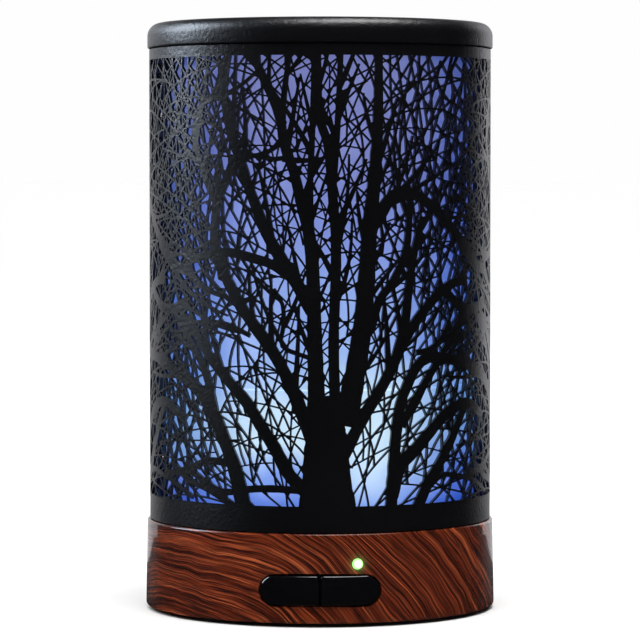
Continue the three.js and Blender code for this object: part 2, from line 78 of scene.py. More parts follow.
def new_material(name, **sockets):
    """An empty node material with one Principled BSDF, and the sockets that are the same all over it."""
    material = bpy.data.materials.new(name)
    material.use_nodes = True
    shader = material.node_tree.nodes["Principled BSDF"]
    for key, value in sockets.items():
        shader.inputs[key.replace("_", " ")].default_value = value
    return material, material.node_tree, shader


scene = bpy.context.scene
scene.view_settings.view_transform = "Standard"
camera = bpy.data.objects.new("camera", bpy.data.cameras.new("camera"))
camera.location = CAMERA_AT
camera.rotation_euler = (CAMERA_PITCH, 0, 0)
camera.data.lens = CAMERA_LENS
camera.data.sensor_width = CAMERA_SENSOR
scene.collection.objects.link(camera)
scene.camera = camera

overhead = bpy.data.objects.new("overhead", bpy.data.lights.new("overhead", "SUN"))
overhead.data.energy = SUN_STRENGTH
overhead.data.angle = SUN_WIDTH
overhead.rotation_euler = (radians(6), radians(-10), 0)
overhead.visible_glossy = False  # the lid's and the buttons' highlights come from softbox_top
scene.collection.objects.link(overhead)
for name, (place, size, watts, colour) in SOFTBOXES.items():
    box = bpy.data.objects.new(name, bpy.data.lights.new(name, "AREA"))
    box.data.shape = "RECTANGLE"
    box.data.size, box.data.size_y = size
    box.data.energy = watts
    box.data.color = colour
    box.location = place
    box.rotation_euler = (AIM - box.location).to_track_quat("-Z", "Y").to_euler()
    box.visible_camera = False
    box.visible_diffuse = name == "softbox_top"  # the others are there for their highlights
    scene.collection.objects.link(box)

scene.world = bpy.data.worlds.new("room")
scene.world.use_nodes = True
room = scene.world.node_tree
room.nodes.clear()
dim = node(room, "Background", {"Color": (0.9, 0.94, 1.0, 1), "Strength": ROOM_LIGHT})
white = node(room, "Background", {"Color": (0.985, 0.99, 0.985, 1), "Strength": 1.0})
seen = node(room, "LightPath").outputs["Is Camera Ray"]
mix = node(room, "MixShader", {0: seen, 1: dim.outputs[0], 2: white.outputs[0]})
node(room, "OutputWorld", {"Surface": mix.outputs[0]})

table_mesh = bpy.data.meshes.new("table")
table_corners = [(TABLE_HALF * x, TABLE_HALF * y, 0) for x, y in ((-1, -1), (1, -1), (1, 1), (-1, 1))]
table_mesh.from_pydata(table_corners, [], [(0, 1, 2, 3)])
table = bpy.data.objects.new("table", table_mesh)
scene.collection.objects.link(table)
table_paint, tree, shader = new_material("table_paint", Roughness=0.7)
shader.inputs["Base Color"].default_value = (0.92, 0.925, 0.915, 1)
table_mesh.materials.append(table_paint)
table.visible_glossy = False  # a dark gloss would mirror the white table

# ---- Rubber feet ----
# Four soft black pads, moulded in rubber and pressed into round seats in the bottom cover. Their lower edge
# is rounded, and the face that they stand on has a shallow dish.
MM = 0.001
FOOT_RING, FOOT_RADIUS, FOOT_HEIGHT = 36, 4.3, 2.0
ROUND = 128  # steps round a large piece
SMALL_ROUND = 48


def grid_faces(rows, columns, closed_rows, closed_columns):
    """Quads between neighbours on a grid of rows by columns points, numbered row by row. A closed direction
    joins its last line of points to its first."""
    i, j = np.meshgrid(np.arange(rows - (not closed_rows)), np.arange(columns - (not closed_columns)),
                       indexing="ij")
    a, b = i * columns + j, i * columns + (j + 1) % columns
    c, d = (i + 1) % rows * columns + (j + 1) % columns, (i + 1) % rows * columns + j
    return np.stack([a, b, c, d], -1).reshape(-1, 4)


def softened(corners, radius, steps=5):
    """An outline with its corners rounded. A corner C becomes the curve (1-t)^2 A + 2t(1-t) C + t^2 B, where
    A and B lie on its two sides at the radius, or at 0.45 of a side that is short."""
    c = np.array(corners, float)
    before, after = np.roll(c, 1, 0) - c, np.roll(c, -1, 0) - c
    r = np.broadcast_to(np.asarray(radius, float), len(c))

    def on_side(way):
        length = np.linalg.norm(way, axis=1)
        return c + way * (np.minimum(r, 0.45 * length) / length)[:, None]

    t = np.linspace(0, 1, steps)[None, :, None]
    a, b = on_side(before)[:, None], on_side(after)[:, None]
    return ((1 - t) ** 2 * a + 2 * t * (1 - t) * c[:, None] + t**2 * b).reshape(-1, 2)


def turned(outline, centre=(0, 0), steps=ROUND):
    """A closed outline of (radius, height) points turned about an upright axis through centre:
    x = cx + r sin a, y = cy - r cos a, z = height."""
    outline = np.asarray(outline, float)
    a = np.linspace(0, 2 * np.pi, steps, endpoint=False)[:, None]
    r, z = outline[:, 0], outline[:, 1]
    points = np.stack([centre[0] + r * np.sin(a), centre[1] - r * np.cos(a), z + 0 * a], -1)
    return points.reshape(-1, 3), grid_faces(steps, len(outline), True, True)


def on_ring(radius, degrees):
    """Points (x, y) on a circle about the upright axis, at these angles from +X."""
    return [(radius * np.cos(a), radius * np.sin(a)) for a in np.radians(degrees)]


def joined(*shells):
    """Several closed shells as one list of points and one list of faces."""
    points, faces, start = [], [], 0
    for p, f in shells:
        points.append(p)
        faces += [[start + i for i in face] for face in f]
        start += len(p)
    return np.vstack(points), faces


def new_piece(name, shells, finishes, body, replaces=(), sharp=35, recalculate=True):
    """Makes a piece of closed shells given in millimetres: merges doubled points, turns the faces outwards,
    marks edges that bend more than sharp degrees, and rides it on its body. The first shell has the first
    finish, and the others have the last."""
    points, faces = joined(*shells)
    mesh = bpy.data.meshes.new(name)
    mesh.from_pydata((points * MM).tolist(), [], faces)
    second = np.arange(len(faces)) >= len(shells[0][1])
    mesh.polygons.foreach_set("material_index", second * (len(finishes) - 1))
    work = bmesh.new()
    work.from_mesh(mesh)
    bmesh.ops.remove_doubles(work, verts=work.verts, dist=2e-6)
    bmesh.ops.dissolve_degenerate(work, edges=work.edges, dist=1e-7)
    if recalculate:
        bmesh.ops.recalc_face_normals(work, faces=work.faces)
    work.to_mesh(mesh)
    work.free()
    mesh.polygons.foreach_set("use_smooth", np.ones(len(mesh.polygons), bool))
    mesh.set_sharp_from_angle(angle=radians(sharp))
    for finish in finishes:
        mesh.materials.append(finish)
    piece = bpy.data.objects.new(name, mesh)
    scene.collection.objects.link(piece)
    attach(piece, body)
    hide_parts(*replaces)
    return piece


def mould_texture():
    """Fine grain and slow unevenness of a moulded or painted surface. Grain is noise at the given size in
    millimetres, and Uneven is noise 40 times coarser."""
    group = bpy.data.node_groups.new("mould_texture", "ShaderNodeTree")
    size = group.interface.new_socket("Grain Size", in_out="INPUT", socket_type="NodeSocketFloat")
    size.default_value = 0.4
    for name in ("Grain", "Uneven"):
        group.interface.new_socket(name, in_out="OUTPUT", socket_type="NodeSocketFloat")
    given, out = group.nodes.new("NodeGroupInput").outputs, group.nodes.new("NodeGroupOutput").inputs
    place = node(group, "TexCoord").outputs["Object"]
    scale = node(group, "Math", {0: 1000.0, 1: given["Grain Size"]}, operation="DIVIDE").outputs[0]
    coarse = node(group, "Math", {0: scale, 1: 1 / 40}, operation="MULTIPLY").outputs[0]
    grain = node(group, "TexNoise", {"Vector": place, "Scale": scale, "Detail": 3.0, "Roughness": 0.6})
    uneven = node(group, "TexNoise", {"Vector": place, "Scale": coarse, "Detail": 2.0})
    group.links.new(grain.outputs[0], out["Grain"])
    group.links.new(uneven.outputs[0], out["Uneven"])
    return group


MOULD_TEXTURE = mould_texture()


def ranged(tree, value, low, high, first=0.0, last=1.0, **settings):
    """A value carried from the range low..high to the range first..last, and held at its two ends."""
    return node(tree, "MapRange", {0: value, 1: low, 2: high, 3: first, 4: last}, **settings).outputs[0]


def mixed(tree, share, first, second, blend="MIX"):
    """The first colour with that share of the second mixed in. Each is three numbers or a socket."""
    ends = [(*colour, 1) if isinstance(colour, tuple) else colour for colour in (first, second)]
    return node(tree, "Mix", {0: share, 6: ends[0], 7: ends[1]}, data_type="RGBA",
                blend_type=blend).outputs[2]


def feed(tree, shader, **sockets):
    """Joins sockets to the shader's inputs of those names."""
    for key, socket in sockets.items():
        tree.links.new(socket, shader.inputs[key.replace("_", " ")])


def raised(tree, height, relief):
    """The normal of a surface that stands relief millimetres high where height is 1."""
    return node(tree, "Bump", {"Height": height, "Distance": relief * MM}).outputs[0]


def textured_finish(name, dark, light, rough, grain_size, relief, **sockets):
    """A plain finish: its colour runs from dark to light and its roughness over the pair rough with the
    surface's unevenness, and its grain stands relief millimetres high."""
    material, tree, shader = new_material(name, **sockets)
    texture = node(tree, "Group", {}, node_tree=MOULD_TEXTURE)
    texture.inputs["Grain Size"].default_value = grain_size
    uneven = ranged(tree, texture.outputs["Uneven"], 0.3, 0.7)
    grain = texture.outputs["Grain"]
    feed(tree, shader, Base_Color=mixed(tree, uneven, dark, light),
         Roughness=ranged(tree, uneven, 0.0, 1.0, *rough), Normal=raised(tree, grain, relief))
    return material


foot_rubber = textured_finish("foot_rubber", (0.012, 0.012, 0.012), (0.028, 0.028, 0.027), (0.75, 0.9), 0.3,
                              0.03)
foot_outline = softened([(0, 0.35), (1.6, 0.35), (2.2, 0), (FOOT_RADIUS, 0), (FOOT_RADIUS, FOOT_HEIGHT),
                         (0, FOOT_HEIGHT)], [0, 0.3, 0.3, 0.7, 0.2, 0])
for number, centre in enumerate(on_ring(FOOT_RING, [0, 90, 180, 270]), 1):
    new_piece(f"foot_pad_{number}", [turned(foot_outline, centre, SMALL_ROUND)], [foot_rubber], "base",
              [f"rubber_foot_{number}"])


# ---- Bottom cover and its screws ----
# A flat black plate, injection moulded with a fine matte texture, with slots that let the fan draw air. Four
# pan-head steel screws hold it to the bosses of the case.
def give_finish(material, *names):
    """Puts a finish on CAD nodes that keep their own shape."""
    for name in names:
        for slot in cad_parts[name].material_slots:
            slot.material = material


matte_plastic = textured_finish("matte_plastic", (0.010, 0.010, 0.011), (0.020, 0.020, 0.021), (0.5, 0.65),
                                0.25, 0.02)
screw_steel = textured_finish("screw_steel", (0.50, 0.51, 0.53), (0.66, 0.67, 0.69), (0.22, 0.38), 0.12,
                              0.004, Metallic=1.0)
give_finish(matte_plastic, "bottom_cover")
give_finish(screw_steel, *[f"base_screw_{i}" for i in (1, 2, 3, 4)])


# ---- Case ----
# The base's shell: moulded in one piece, wrapped in a dark red rosewood film and clear-coated to a high
# gloss. Its wall is cut for the two buttons, the lamp and the socket, and a black ledge and collar inside
# carry the tank.
CASE_RADIUS, CASE_TOP_RADIUS, CASE_INNER = 48.0, 47.6, 45.4
CASE_BOTTOM, CASE_TOP, CASE_EDGE = 1.0, 24.6, 0.6
PILL_Z, PILL_HALF_WIDTH, PILL_HALF_HEIGHT, PILL_GAP = 9.7, 16.0, 4.0, 0.3
LAMP_X, LAMP_Z, LAMP_HOLE = 10.0, 16.7, 1.5
SOCKET_Z, SOCKET_HOLE = 8.0, 4.6
BOSS_RING = 41
WOOD_HEART = (-36.0, -30.0)  # where the grain's rings are centred, across and up
WOOD_WARP, WOOD_RIPPLE = 8.0, 0.30  # how far slow and quick noise move the rings
# the reach of the painted glow round the lamp, in millimetres
PAINTED_HALO_RADIUS = 1.7


def inside(points, outlines):
    """True where a point lies in any outline: a ray to its right crosses that outline an odd number of
    times."""
    found = np.zeros(len(points), bool)
    for outline in outlines:
        boxed = (points >= outline.min(0)) & (points <= outline.max(0))
        near = np.flatnonzero(boxed.all(1) & ~found)
        if not len(near):
            continue
        p, a, b = points[near][:, None], outline[None], np.roll(outline, -1, 0)[None]
        crosses = (a[..., 1] > p[..., 1]) != (b[..., 1] > p[..., 1])
        with np.errstate(divide="ignore", invalid="ignore"):
            at = a[..., 0] + (p[..., 1] - a[..., 1]) / (b[..., 1] - a[..., 1]) * (b[..., 0] - a[..., 0])
        found[near] |= (crosses & (at > p[..., 0])).sum(1) % 2 == 1
    return found


def pierced_wall(holes, rows, pitch, repeats, bend_radius, outer, inner, spacing, seed):
    """A round wall cut through with holes. A flat strip, one pitch wide, is triangulated (Delaunay) round
    the hole outlines, the level rows and a loose grid of points; a margin on each side holds its repeats, so
    the strips meet exactly. A point (u, z) bends to the angle u / bend_radius and the radius outer(z) or
    inner(z)."""
    rng = np.random.default_rng(seed)
    half, margin = pitch / 2, 4 * spacing
    copies = [h + [k * pitch, 0] for h in holes for k in (-1, 0, 1)]
    copies = [h for h in copies if h[:, 0].max() > -half - margin and h[:, 0].min() < half + margin]
    count = int(np.ceil(pitch / spacing))
    step = pitch / count
    extra = int(np.ceil(margin / step))
    across = (np.arange(-extra, count + extra) + 0.37) * step - half
    points, edges, total = [], [], 0
    for z in rows:
        points.append(np.column_stack([across, np.full(len(across), z)]))
        edges.append(np.column_stack([np.arange(len(across) - 1), np.arange(1, len(across))]) + total)
        total += len(across)
    for h in copies:
        points.append(h)
        edges.append(np.column_stack([np.arange(len(h)), np.roll(np.arange(len(h)), -1)]) + total)
        total += len(h)
    levels = np.arange(rows[0] + spacing * 0.6, rows[-1] - spacing * 0.4, spacing)
    shift = rng.uniform(-0.2, 0.2, (count, len(levels), 2)) * spacing
    u, z = np.meshgrid(np.arange(-extra, count + extra), levels, indexing="ij")
    loose = np.stack([u * step - half, z], -1) + shift[np.arange(-extra, count + extra) % count]
    points.append(loose.reshape(-1, 2))
    flat = [Vector(p) for p in np.vstack(points).tolist()]
    made = delaunay_2d_cdt(flat, np.vstack(edges).tolist(), [], 0, 1e-4, False)
    flat, triangles = np.array([tuple(v) for v in made[0]]), np.array(made[2])
    centres = flat[triangles].mean(1)
    kept = (centres[:, 0] >= -half) & (centres[:, 0] < half)
    kept[kept] = ~inside(centres[kept], copies)
    used, triangles = np.unique(triangles[kept], return_inverse=True)
    flat, triangles = flat[used], triangles.reshape(-1, 3)
    # all the repeats, welded where they meet
    whole = np.vstack([flat + [k * pitch, 0] for k in range(repeats)])
    triangles = np.vstack([triangles + k * len(flat) for k in range(repeats)])
    angle = whole[:, 0] / bend_radius
    ring = np.column_stack([np.sin(angle), -np.cos(angle), whole[:, 1] / bend_radius])
    work = bmesh.new()
    mesh = bpy.data.meshes.new("weld")
    mesh.from_pydata(ring.tolist(), [], triangles.tolist())
    work.from_mesh(mesh)
    bmesh.ops.remove_doubles(work, verts=work.verts, dist=0.003 / bend_radius)
    work.to_mesh(mesh)
    work.free()
    ring = np.empty(len(mesh.vertices) * 3)
    mesh.vertices.foreach_get("co", ring)
    ring = ring.reshape(-1, 3)
    triangles = np.empty(len(mesh.polygons) * 3, int)
    mesh.polygons.foreach_get("vertices", triangles)
    triangles = triangles.reshape(-1, 3)
    bpy.data.meshes.remove(mesh)
    z = ring[:, 2] * bend_radius
    way = ring[:, :2] / np.linalg.norm(ring[:, :2], axis=1)[:, None]
    skins = [np.column_stack([way * r(z)[:, None], z]) for r in (outer, inner)]
    n = len(z)
    # an edge with a face on one side only is an edge of a hole or a rim: a quad joins the two skins there
    sides = np.concatenate([triangles[:, [0, 1]], triangles[:, [1, 2]], triangles[:, [2, 0]]])
    key, back = sides[:, 0] * n + sides[:, 1], sides[:, 1] * n + sides[:, 0]
    rim = sides[~np.isin(key, back)]
    walls = np.column_stack([rim[:, 1], rim[:, 0], rim[:, 0] + n, rim[:, 1] + n])
    return np.vstack(skins), triangles.tolist() + (triangles[:, ::-1] + n).tolist() + walls.tolist()


def round_hole(x, z, radius, bend_radius, steps=40):
    """A round hole bored along Y, as it lies on the unrolled wall: u = R arcsin(x / R)."""
    a = np.linspace(0, 2 * np.pi, steps, endpoint=False)
    return np.column_stack([bend_radius * np.arcsin((x + radius * np.cos(a)) / bend_radius),
                            z + radius * np.sin(a)])


def pill(half_width, half_height, steps=24):
    """A pill outline about (0, 0): two half circles joined by straight sides."""
    a = np.linspace(-np.pi / 2, np.pi / 2, steps)
    end = half_width - half_height
    right = np.column_stack([end + half_height * np.cos(a), half_height * np.sin(a)])
    return np.vstack([right, -right])


def hollow_post(bore, radius, low, high, centre):
    """A short upright tube with softened edges, for a screw."""
    return turned(softened([(bore, low), (radius, low), (radius, high), (bore, high)], 0.2), centre, 24)


# the wall's rows of points, closer together where its two edges turn over
edge_angles = np.radians([0, 22, 45, 68, 90])
edge_rise, edge_set_in = CASE_EDGE * (1 - np.cos(edge_angles)), CASE_EDGE * (1 - np.sin(edge_angles))
case_rows = np.concatenate([CASE_BOTTOM + edge_rise, CASE_TOP - edge_rise[::-1]])
case_radii = np.interp(case_rows, [CASE_BOTTOM, CASE_TOP], [CASE_RADIUS, CASE_TOP_RADIUS])
case_radii -= np.concatenate([edge_set_in, edge_set_in[::-1]])
window = pill(PILL_HALF_WIDTH + PILL_GAP, PILL_HALF_HEIGHT + PILL_GAP)
window = np.column_stack([CASE_RADIUS * np.arcsin(window[:, 0] / CASE_RADIUS), window[:, 1] + PILL_Z])
socket_hole = round_hole(0, SOCKET_Z, SOCKET_HOLE, CASE_RADIUS) + [np.pi * CASE_RADIUS, 0]
case_wall = pierced_wall(
    [window, round_hole(LAMP_X, LAMP_Z, LAMP_HOLE, CASE_RADIUS), socket_hole], case_rows,
    2 * np.pi * CASE_RADIUS, 1, CASE_RADIUS, lambda z: np.interp(z, case_rows, case_radii),
    lambda z: np.full(len(z), CASE_INNER), 3.0, 5)
ledge = turned(softened([(CASE_INNER + 0.3, 21.4), (CASE_INNER + 0.3, 28.6), (43.9, 28.6), (43.9, 23.4),
                         (38, 23.4), (38, 21.4)], [0, 0.4, 0.4, 0.2, 0.3, 0.3]))
bosses = [hollow_post(1.4, 2.8, 4, 22.4, centre) for centre in on_ring(BOSS_RING, [45, 135, 225, 315])]


def ramped(tree, value, stops):
    """A colour for each value, with straight runs between stops of (value, colour)."""
    ramp = node(tree, "ValToRGB", {0: value})
    ramp.color_ramp.elements.remove(ramp.color_ramp.elements[1])
    for at, colour in stops:
        ramp.color_ramp.elements.new(at).color = (*colour, 1)
    ramp.color_ramp.elements.remove(ramp.color_ramp.elements[0])
    return ramp.outputs[0]


def rosewood():
    """Rosewood film under clear coat. Rings about the heart, whose distance in x and z noise moves, are
    sampled by noise stretched along them, first in broad bands and then in thin dark pores. Round the lamp's
    hole the film carries a painted green glow, for the lamp's light on it."""
    material, tree, shader = new_material("rosewood", Coat_Weight=0.8, Coat_Roughness=0.05, Coat_IOR=1.5,
                                          Specular_IOR_Level=0.12, Emission_Strength=0.6)

    def worked_out(kind, a, b=0.0, c=0.0):
        return node(tree, "Math", {0: a, 1: b, 2: c}, operation=kind).outputs[0]

    def times(a, b):
        return worked_out("MULTIPLY", a, b)

    place = node(tree, "TexCoord").outputs["Object"]
    moved = node(tree, "Mapping", {"Vector": place, "Location": (-WOOD_HEART[0], 0, -WOOD_HEART[1]),
                                   "Scale": (1 / MM, 1 / MM, 1 / MM)}).outputs[0]
    warp = node(tree, "TexNoise", {"Vector": moved, "Scale": 0.035, "Detail": 2.0,
                                   "Roughness": 0.5}).outputs[0]
    ripple = node(tree, "TexNoise", {"Vector": moved, "Scale": 0.22, "Detail": 2.0}).outputs[0]
    x, y, z = node(tree, "SeparateXYZ", {0: moved}).outputs
    flat = worked_out("POWER", worked_out("ADD", times(x, x), times(z, z)), 0.5)
    ring = worked_out("ADD", worked_out("MULTIPLY_ADD", warp, WOOD_WARP, flat), times(ripple, WOOD_RIPPLE))
    along = times(worked_out("ARCTAN2", z, x), 60.0)

    def streaks(across, lengthways, deep, detail, roughness):
        """Noise at the point (ring, along, y), each of the three times its own number."""
        at = node(tree, "CombineXYZ", {0: times(ring, across), 1: times(along, lengthways),
                                       2: times(y, deep)})
        return node(tree, "TexNoise", {"Vector": at.outputs[0], "Scale": 1.0, "Detail": detail,
                                       "Roughness": roughness}).outputs[0]

    bands = streaks(2.1, 0.022, 0.012, 4.0, 0.62)
    pores = streaks(6.0, 0.06, 0.05, 3.0, 0.7)
    wood = ramped(tree, bands, [(0.32, (0.010, 0.002, 0.001)), (0.42, (0.060, 0.009, 0.003)),
                                (0.50, (0.140, 0.020, 0.006)), (0.58, (0.270, 0.046, 0.013)),
                                (0.68, (0.500, 0.120, 0.036))])
    depth = ranged(tree, pores, 0.40, 0.56, 0.10, 1.0)
    # painted glow: the film round the lamp gets a green emission of half of e to the power of
    # -(distance / radius) squared, for the lamp's light on it
    lamp_at = (LAMP_X * MM, -46.7 * MM, LAMP_Z * MM)
    off = node(tree, "VectorMath", {0: place, 1: lamp_at}, operation="DISTANCE").outputs["Value"]
    near = worked_out("DIVIDE", off, PAINTED_HALO_RADIUS * MM)
    painted_halo = times(worked_out("POWER", 2.718, times(times(near, near), -1.0)), 0.5)
    feed(tree, shader, Base_Color=mixed(tree, 1.0, wood, depth, "MULTIPLY"),
         Roughness=ranged(tree, depth, 0.0, 1.0, 0.42, 0.26),
         Emission_Color=mixed(tree, painted_halo, (0, 0, 0), (0.30, 0.62, 0.16)))
    return material


new_piece("case", [case_wall, ledge, *bosses], [rosewood(), matte_plastic], "base",
          ["base_shell"], recalculate=False)


# ---- Electronics ----
# A green fibreglass main board on the bottom cover's posts carries a capacitor, a choke, a finned heat sink,
# the controller and three connectors, and a small upright one behind the buttons carries the two switches.
# Stranded leads in soft insulation join the boards to the fan, the disc and the lamps.
def circuit_board():
    """Green solder mask over copper tracks. The tracks show as a lighter, slightly raised grid of cells."""
    material, tree, shader = new_material("circuit_board", Specular_IOR_Level=0.5)
    place = node(tree, "TexCoord").outputs["Object"]
    cells = node(tree, "TexVoronoi", {"Vector": place, "Scale": 420.0}, distance="CHEBYCHEV", feature="F1")
    tracks = ranged(tree, cells.outputs["Distance"], 0.30, 0.34)
    feed(tree, shader, Base_Color=mixed(tree, tracks, (0.006, 0.055, 0.022), (0.018, 0.13, 0.05)),
         Roughness=ranged(tree, tracks, 0.0, 1.0, 0.42, 0.3), Normal=raised(tree, tracks, 0.035))
    return material


def winding_wire():
    """Enamelled copper wire wound round: a sine ridge every 0.35 mm of height. The grooves between the turns
    are painted darker, as painted shade.
    """
    material, tree, shader = new_material("winding_wire", Metallic=1.0)
    height = node(tree, "SeparateXYZ", {0: node(tree, "TexCoord").outputs["Object"]}).outputs["Z"]
    turns = node(tree, "Math", {0: height, 1: 2 * np.pi / (0.35 * MM)}, operation="MULTIPLY").outputs[0]
    ridge = ranged(tree, node(tree, "Math", {0: turns}, operation="SINE").outputs[0], -1.0, 1.0)
    # painted shade: the colour darkens in the grooves between the turns
    feed(tree, shader, Base_Color=mixed(tree, ridge, (0.20, 0.05, 0.012), (0.62, 0.24, 0.08)),
         Roughness=ranged(tree, ridge, 0.0, 1.0, 0.45, 0.25), Normal=raised(tree, ridge, 0.12))
    return material


white_nylon = textured_finish("white_nylon", (0.60, 0.59, 0.55), (0.74, 0.73, 0.69), (0.4, 0.55), 0.25, 0.01)
chip_epoxy = textured_finish("chip_epoxy", (0.012, 0.012, 0.013), (0.03, 0.03, 0.032), (0.5, 0.7), 0.12, 0.02)
fin_aluminium = textured_finish("fin_aluminium", (0.42, 0.43, 0.45), (0.58, 0.59, 0.61), (0.3, 0.48), 0.2,
                                0.01, Metallic=1.0)
red_insulation = textured_finish("red_insulation", (0.30, 0.016, 0.012), (0.48, 0.035, 0.025), (0.35, 0.5),
                                 0.3, 0.01)
black_insulation = textured_finish("black_insulation", (0.010, 0.010, 0.010), (0.03, 0.03, 0.03),
                                   (0.35, 0.5), 0.3, 0.01)
give_finish(circuit_board(), "main_board", "button_board", "led_board")
give_finish(winding_wire(), "inductor", "fan_stator")
give_finish(chip_epoxy, "capacitor", "control_chip", "button_header")
give_finish(matte_plastic, "mist_switch", "light_switch")
give_finish(white_nylon, "fan_connector", "piezo_connector", "led_connector", "mist_switch_plunger",
            "light_switch_plunger")
give_finish(fin_aluminium, "heat_sink")
give_finish(screw_steel, "board_screw_1", "board_screw_2")
give_finish(red_insulation, "fan_lead", "led_lead")
give_finish(black_insulation, "piezo_lead", "power_lead")

# ---- Fan ----
# A 25 mm brushless fan in a black frame hangs on two screws from a white moulded hood, which carries its air
# up to the duct in the tank and so lifts the mist.
give_finish(matte_plastic, "fan_frame", "fan_rotor")
give_finish(white_nylon, "fan_duct")
give_finish(screw_steel, "fan_screw_1", "fan_screw_2")

# ---- Ultrasonic disc ----
# A silvered piezo-ceramic disc lies against a silicone ring under the tank's well, held up by a pressed steel
# plate and three screws. A second silicone ring seals the tank to the ledge.
silicone = textured_finish("silicone", (0.50, 0.52, 0.54), (0.62, 0.64, 0.66), (0.55, 0.7), 0.4, 0.01)
silvered_ceramic = textured_finish("silvered_ceramic", (0.62, 0.60, 0.54), (0.78, 0.76, 0.70), (0.25, 0.4),
                                   0.2, 0.004)
give_finish(silicone, "tank_seal", "piezo_seal")
give_finish(silvered_ceramic, "piezo_disc")
give_finish(screw_steel, "piezo_clamp", "clamp_screw_1", "clamp_screw_2", "clamp_screw_3")

# ---- Lamps under the tank ----
# Three white light-emitting diodes, each under yellowish epoxy, stand on a C-shaped board and light the tank
# and the cover from below. Two screws hold the board to posts under the tank.
lamp_epoxy = textured_finish("lamp_epoxy", (0.75, 0.72, 0.48), (0.85, 0.82, 0.60), (0.2, 0.35), 0.2, 0.004,
                             Emission_Color=(0.62, 0.78, 1.0, 1), Emission_Strength=1.5)
give_finish(lamp_epoxy, "led_1", "led_2", "led_3", "indicator_led")
give_finish(screw_steel, "led_board_screw_1", "led_board_screw_2")

# ---- Tank ----
# The water tank is moulded in one piece of milky polypropylene, with the air duct standing in it. The lamps
# below light it, and that light is painted on as a glow, deep blue at its floor and paler higher up.
TANK_OUTER, TANK_INNER, TANK_RIM, TANK_UNDER = 42.4, 40.4, 62.0, 27.0
DUCT_HALF, DUCT_NEAR, DUCT_FAR, DUCT_WALL, DUCT_TOP = 6.0, 25.0, 33.0, 1.5, 59.0
POST_TOP, CLAMP_RING, BOARD_POST_X = 27.5, 17, 25


def lofted(rings, closed=False):
    """Rings of points joined one to the next. An open loft is closed at each end by a fan to its middle."""
    rings = np.asarray(rings, float)
    if not closed:
        ends = [np.repeat(r.mean(0)[None], rings.shape[1], 0)[None] for r in (rings[0], rings[-1])]
        rings = np.concatenate([ends[0], rings, ends[1]])
    return rings.reshape(-1, 3), grid_faces(len(rings), rings.shape[1], closed, True)


def level_ring(outline, z):
    """A flat outline of (x, y) points at a height."""
    return np.column_stack([outline, np.full(len(outline), z)])


def painted_glow_plastic():
    """Milky plastic with the light of the lamps at its foot painted on as a glow. The painted glow goes with
    the
    height z: deep blue at the foot, palest between about 45 and 60 mm, and violet-blue above, where slow
    noise moves z. Towards the sides it is painted bluer and dimmer, and it fades to the back: painted shade."""
    material, tree, shader = new_material("painted_glow_plastic", IOR=1.46, Coat_Weight=0.15, Emission_Strength=0.88)
    place = node(tree, "TexCoord").outputs["Object"]
    x, y, z = node(tree, "SeparateXYZ", {0: place}).outputs
    cloud = node(tree, "TexNoise", {"Vector": place, "Scale": 28.0, "Detail": 2.0}).outputs[0]
    lifted = node(tree, "Math", {0: cloud, 1: 0.034, 2: z}, operation="MULTIPLY_ADD").outputs[0]
    glow = ramped(tree, ranged(tree, lifted, 0.04, 0.18), [
        (0.0, (0.05, 0.12, 0.66)), (0.09, (0.17, 0.32, 0.88)), (0.17, (0.60, 0.82, 1.0)),
        (0.25, (0.58, 0.80, 1.0)), (0.36, (0.31, 0.48, 0.92)), (0.55, (0.20, 0.28, 0.72)),
        (0.76, (0.17, 0.20, 0.52)), (1.0, (0.15, 0.17, 0.42))])
    # painted shade: bluer and dimmer towards the sides, and dimmer towards the back
    aside = node(tree, "Math", {0: x}, operation="ABSOLUTE").outputs[0]
    shade = ranged(tree, aside, 0.014, 0.041, interpolation_type="SMOOTHSTEP")
    glow = mixed(tree, 1.0, glow, mixed(tree, shade, (1, 1, 1), (0.22, 0.40, 0.80)), "MULTIPLY")
    glow = mixed(tree, 1.0, glow, ranged(tree, y, 0.035, -0.036, 0.25, 1.0), "MULTIPLY")
    feed(tree, shader, Emission_Color=glow, Roughness=ranged(tree, cloud, 0.3, 0.7, 0.34, 0.46),
         Base_Color=mixed(tree, cloud, (0.26, 0.29, 0.40), (0.34, 0.38, 0.50)))
    return material


painted_glow_milky = painted_glow_plastic()
tank_wall = turned(softened(
    [(8, 24.6), (13, 24.6), (13, TANK_UNDER), (38.6, TANK_UNDER), (38.6, 25.2), (43.5, 25.2), (43.5, 27.6),
     (TANK_OUTER, 28.4), (TANK_OUTER, TANK_RIM), (TANK_INNER, TANK_RIM), (TANK_INNER, 31.5), (37.5, 29.4),
     (13, 28.8), (8, 26.6)], [0.3, 0.4, 0.4, 0.3, 0.3, 0.5, 0.5, 0.6, 0.6, 0.6, 1.6, 1.6, 1.2, 0.8]))
duct_middle = np.array([0, (DUCT_NEAR + DUCT_FAR) / 2])
duct_inner = np.array([(-1, -1), (1, -1), (1, 1), (-1, 1)]) * [DUCT_HALF, (DUCT_FAR - DUCT_NEAR) / 2]
duct_outer = softened(duct_inner + np.sign(duct_inner) * DUCT_WALL, 1.8) + duct_middle
duct_inner = softened(duct_inner, 0.8) + duct_middle
duct = lofted([level_ring(duct_outer, TANK_UNDER + 0.6), level_ring(duct_outer, DUCT_TOP - 0.3),
               level_ring(duct_outer * 0.98 + duct_middle * 0.02, DUCT_TOP), level_ring(duct_inner, DUCT_TOP),
               level_ring(duct_inner, TANK_UNDER + 0.6)], closed=True)
clamp_posts = [hollow_post(1.2, 2.4, 22, POST_TOP, centre) for centre in on_ring(CLAMP_RING, [30, 150, 270])]
board_posts = [hollow_post(1.1, 2.2, 22.3, POST_TOP, (x, 0)) for x in (-BOARD_POST_X, BOARD_POST_X)]
new_piece("water_tank", [tank_wall, duct, *clamp_posts, *board_posts], [painted_glow_milky], "base",
          ["tank"])

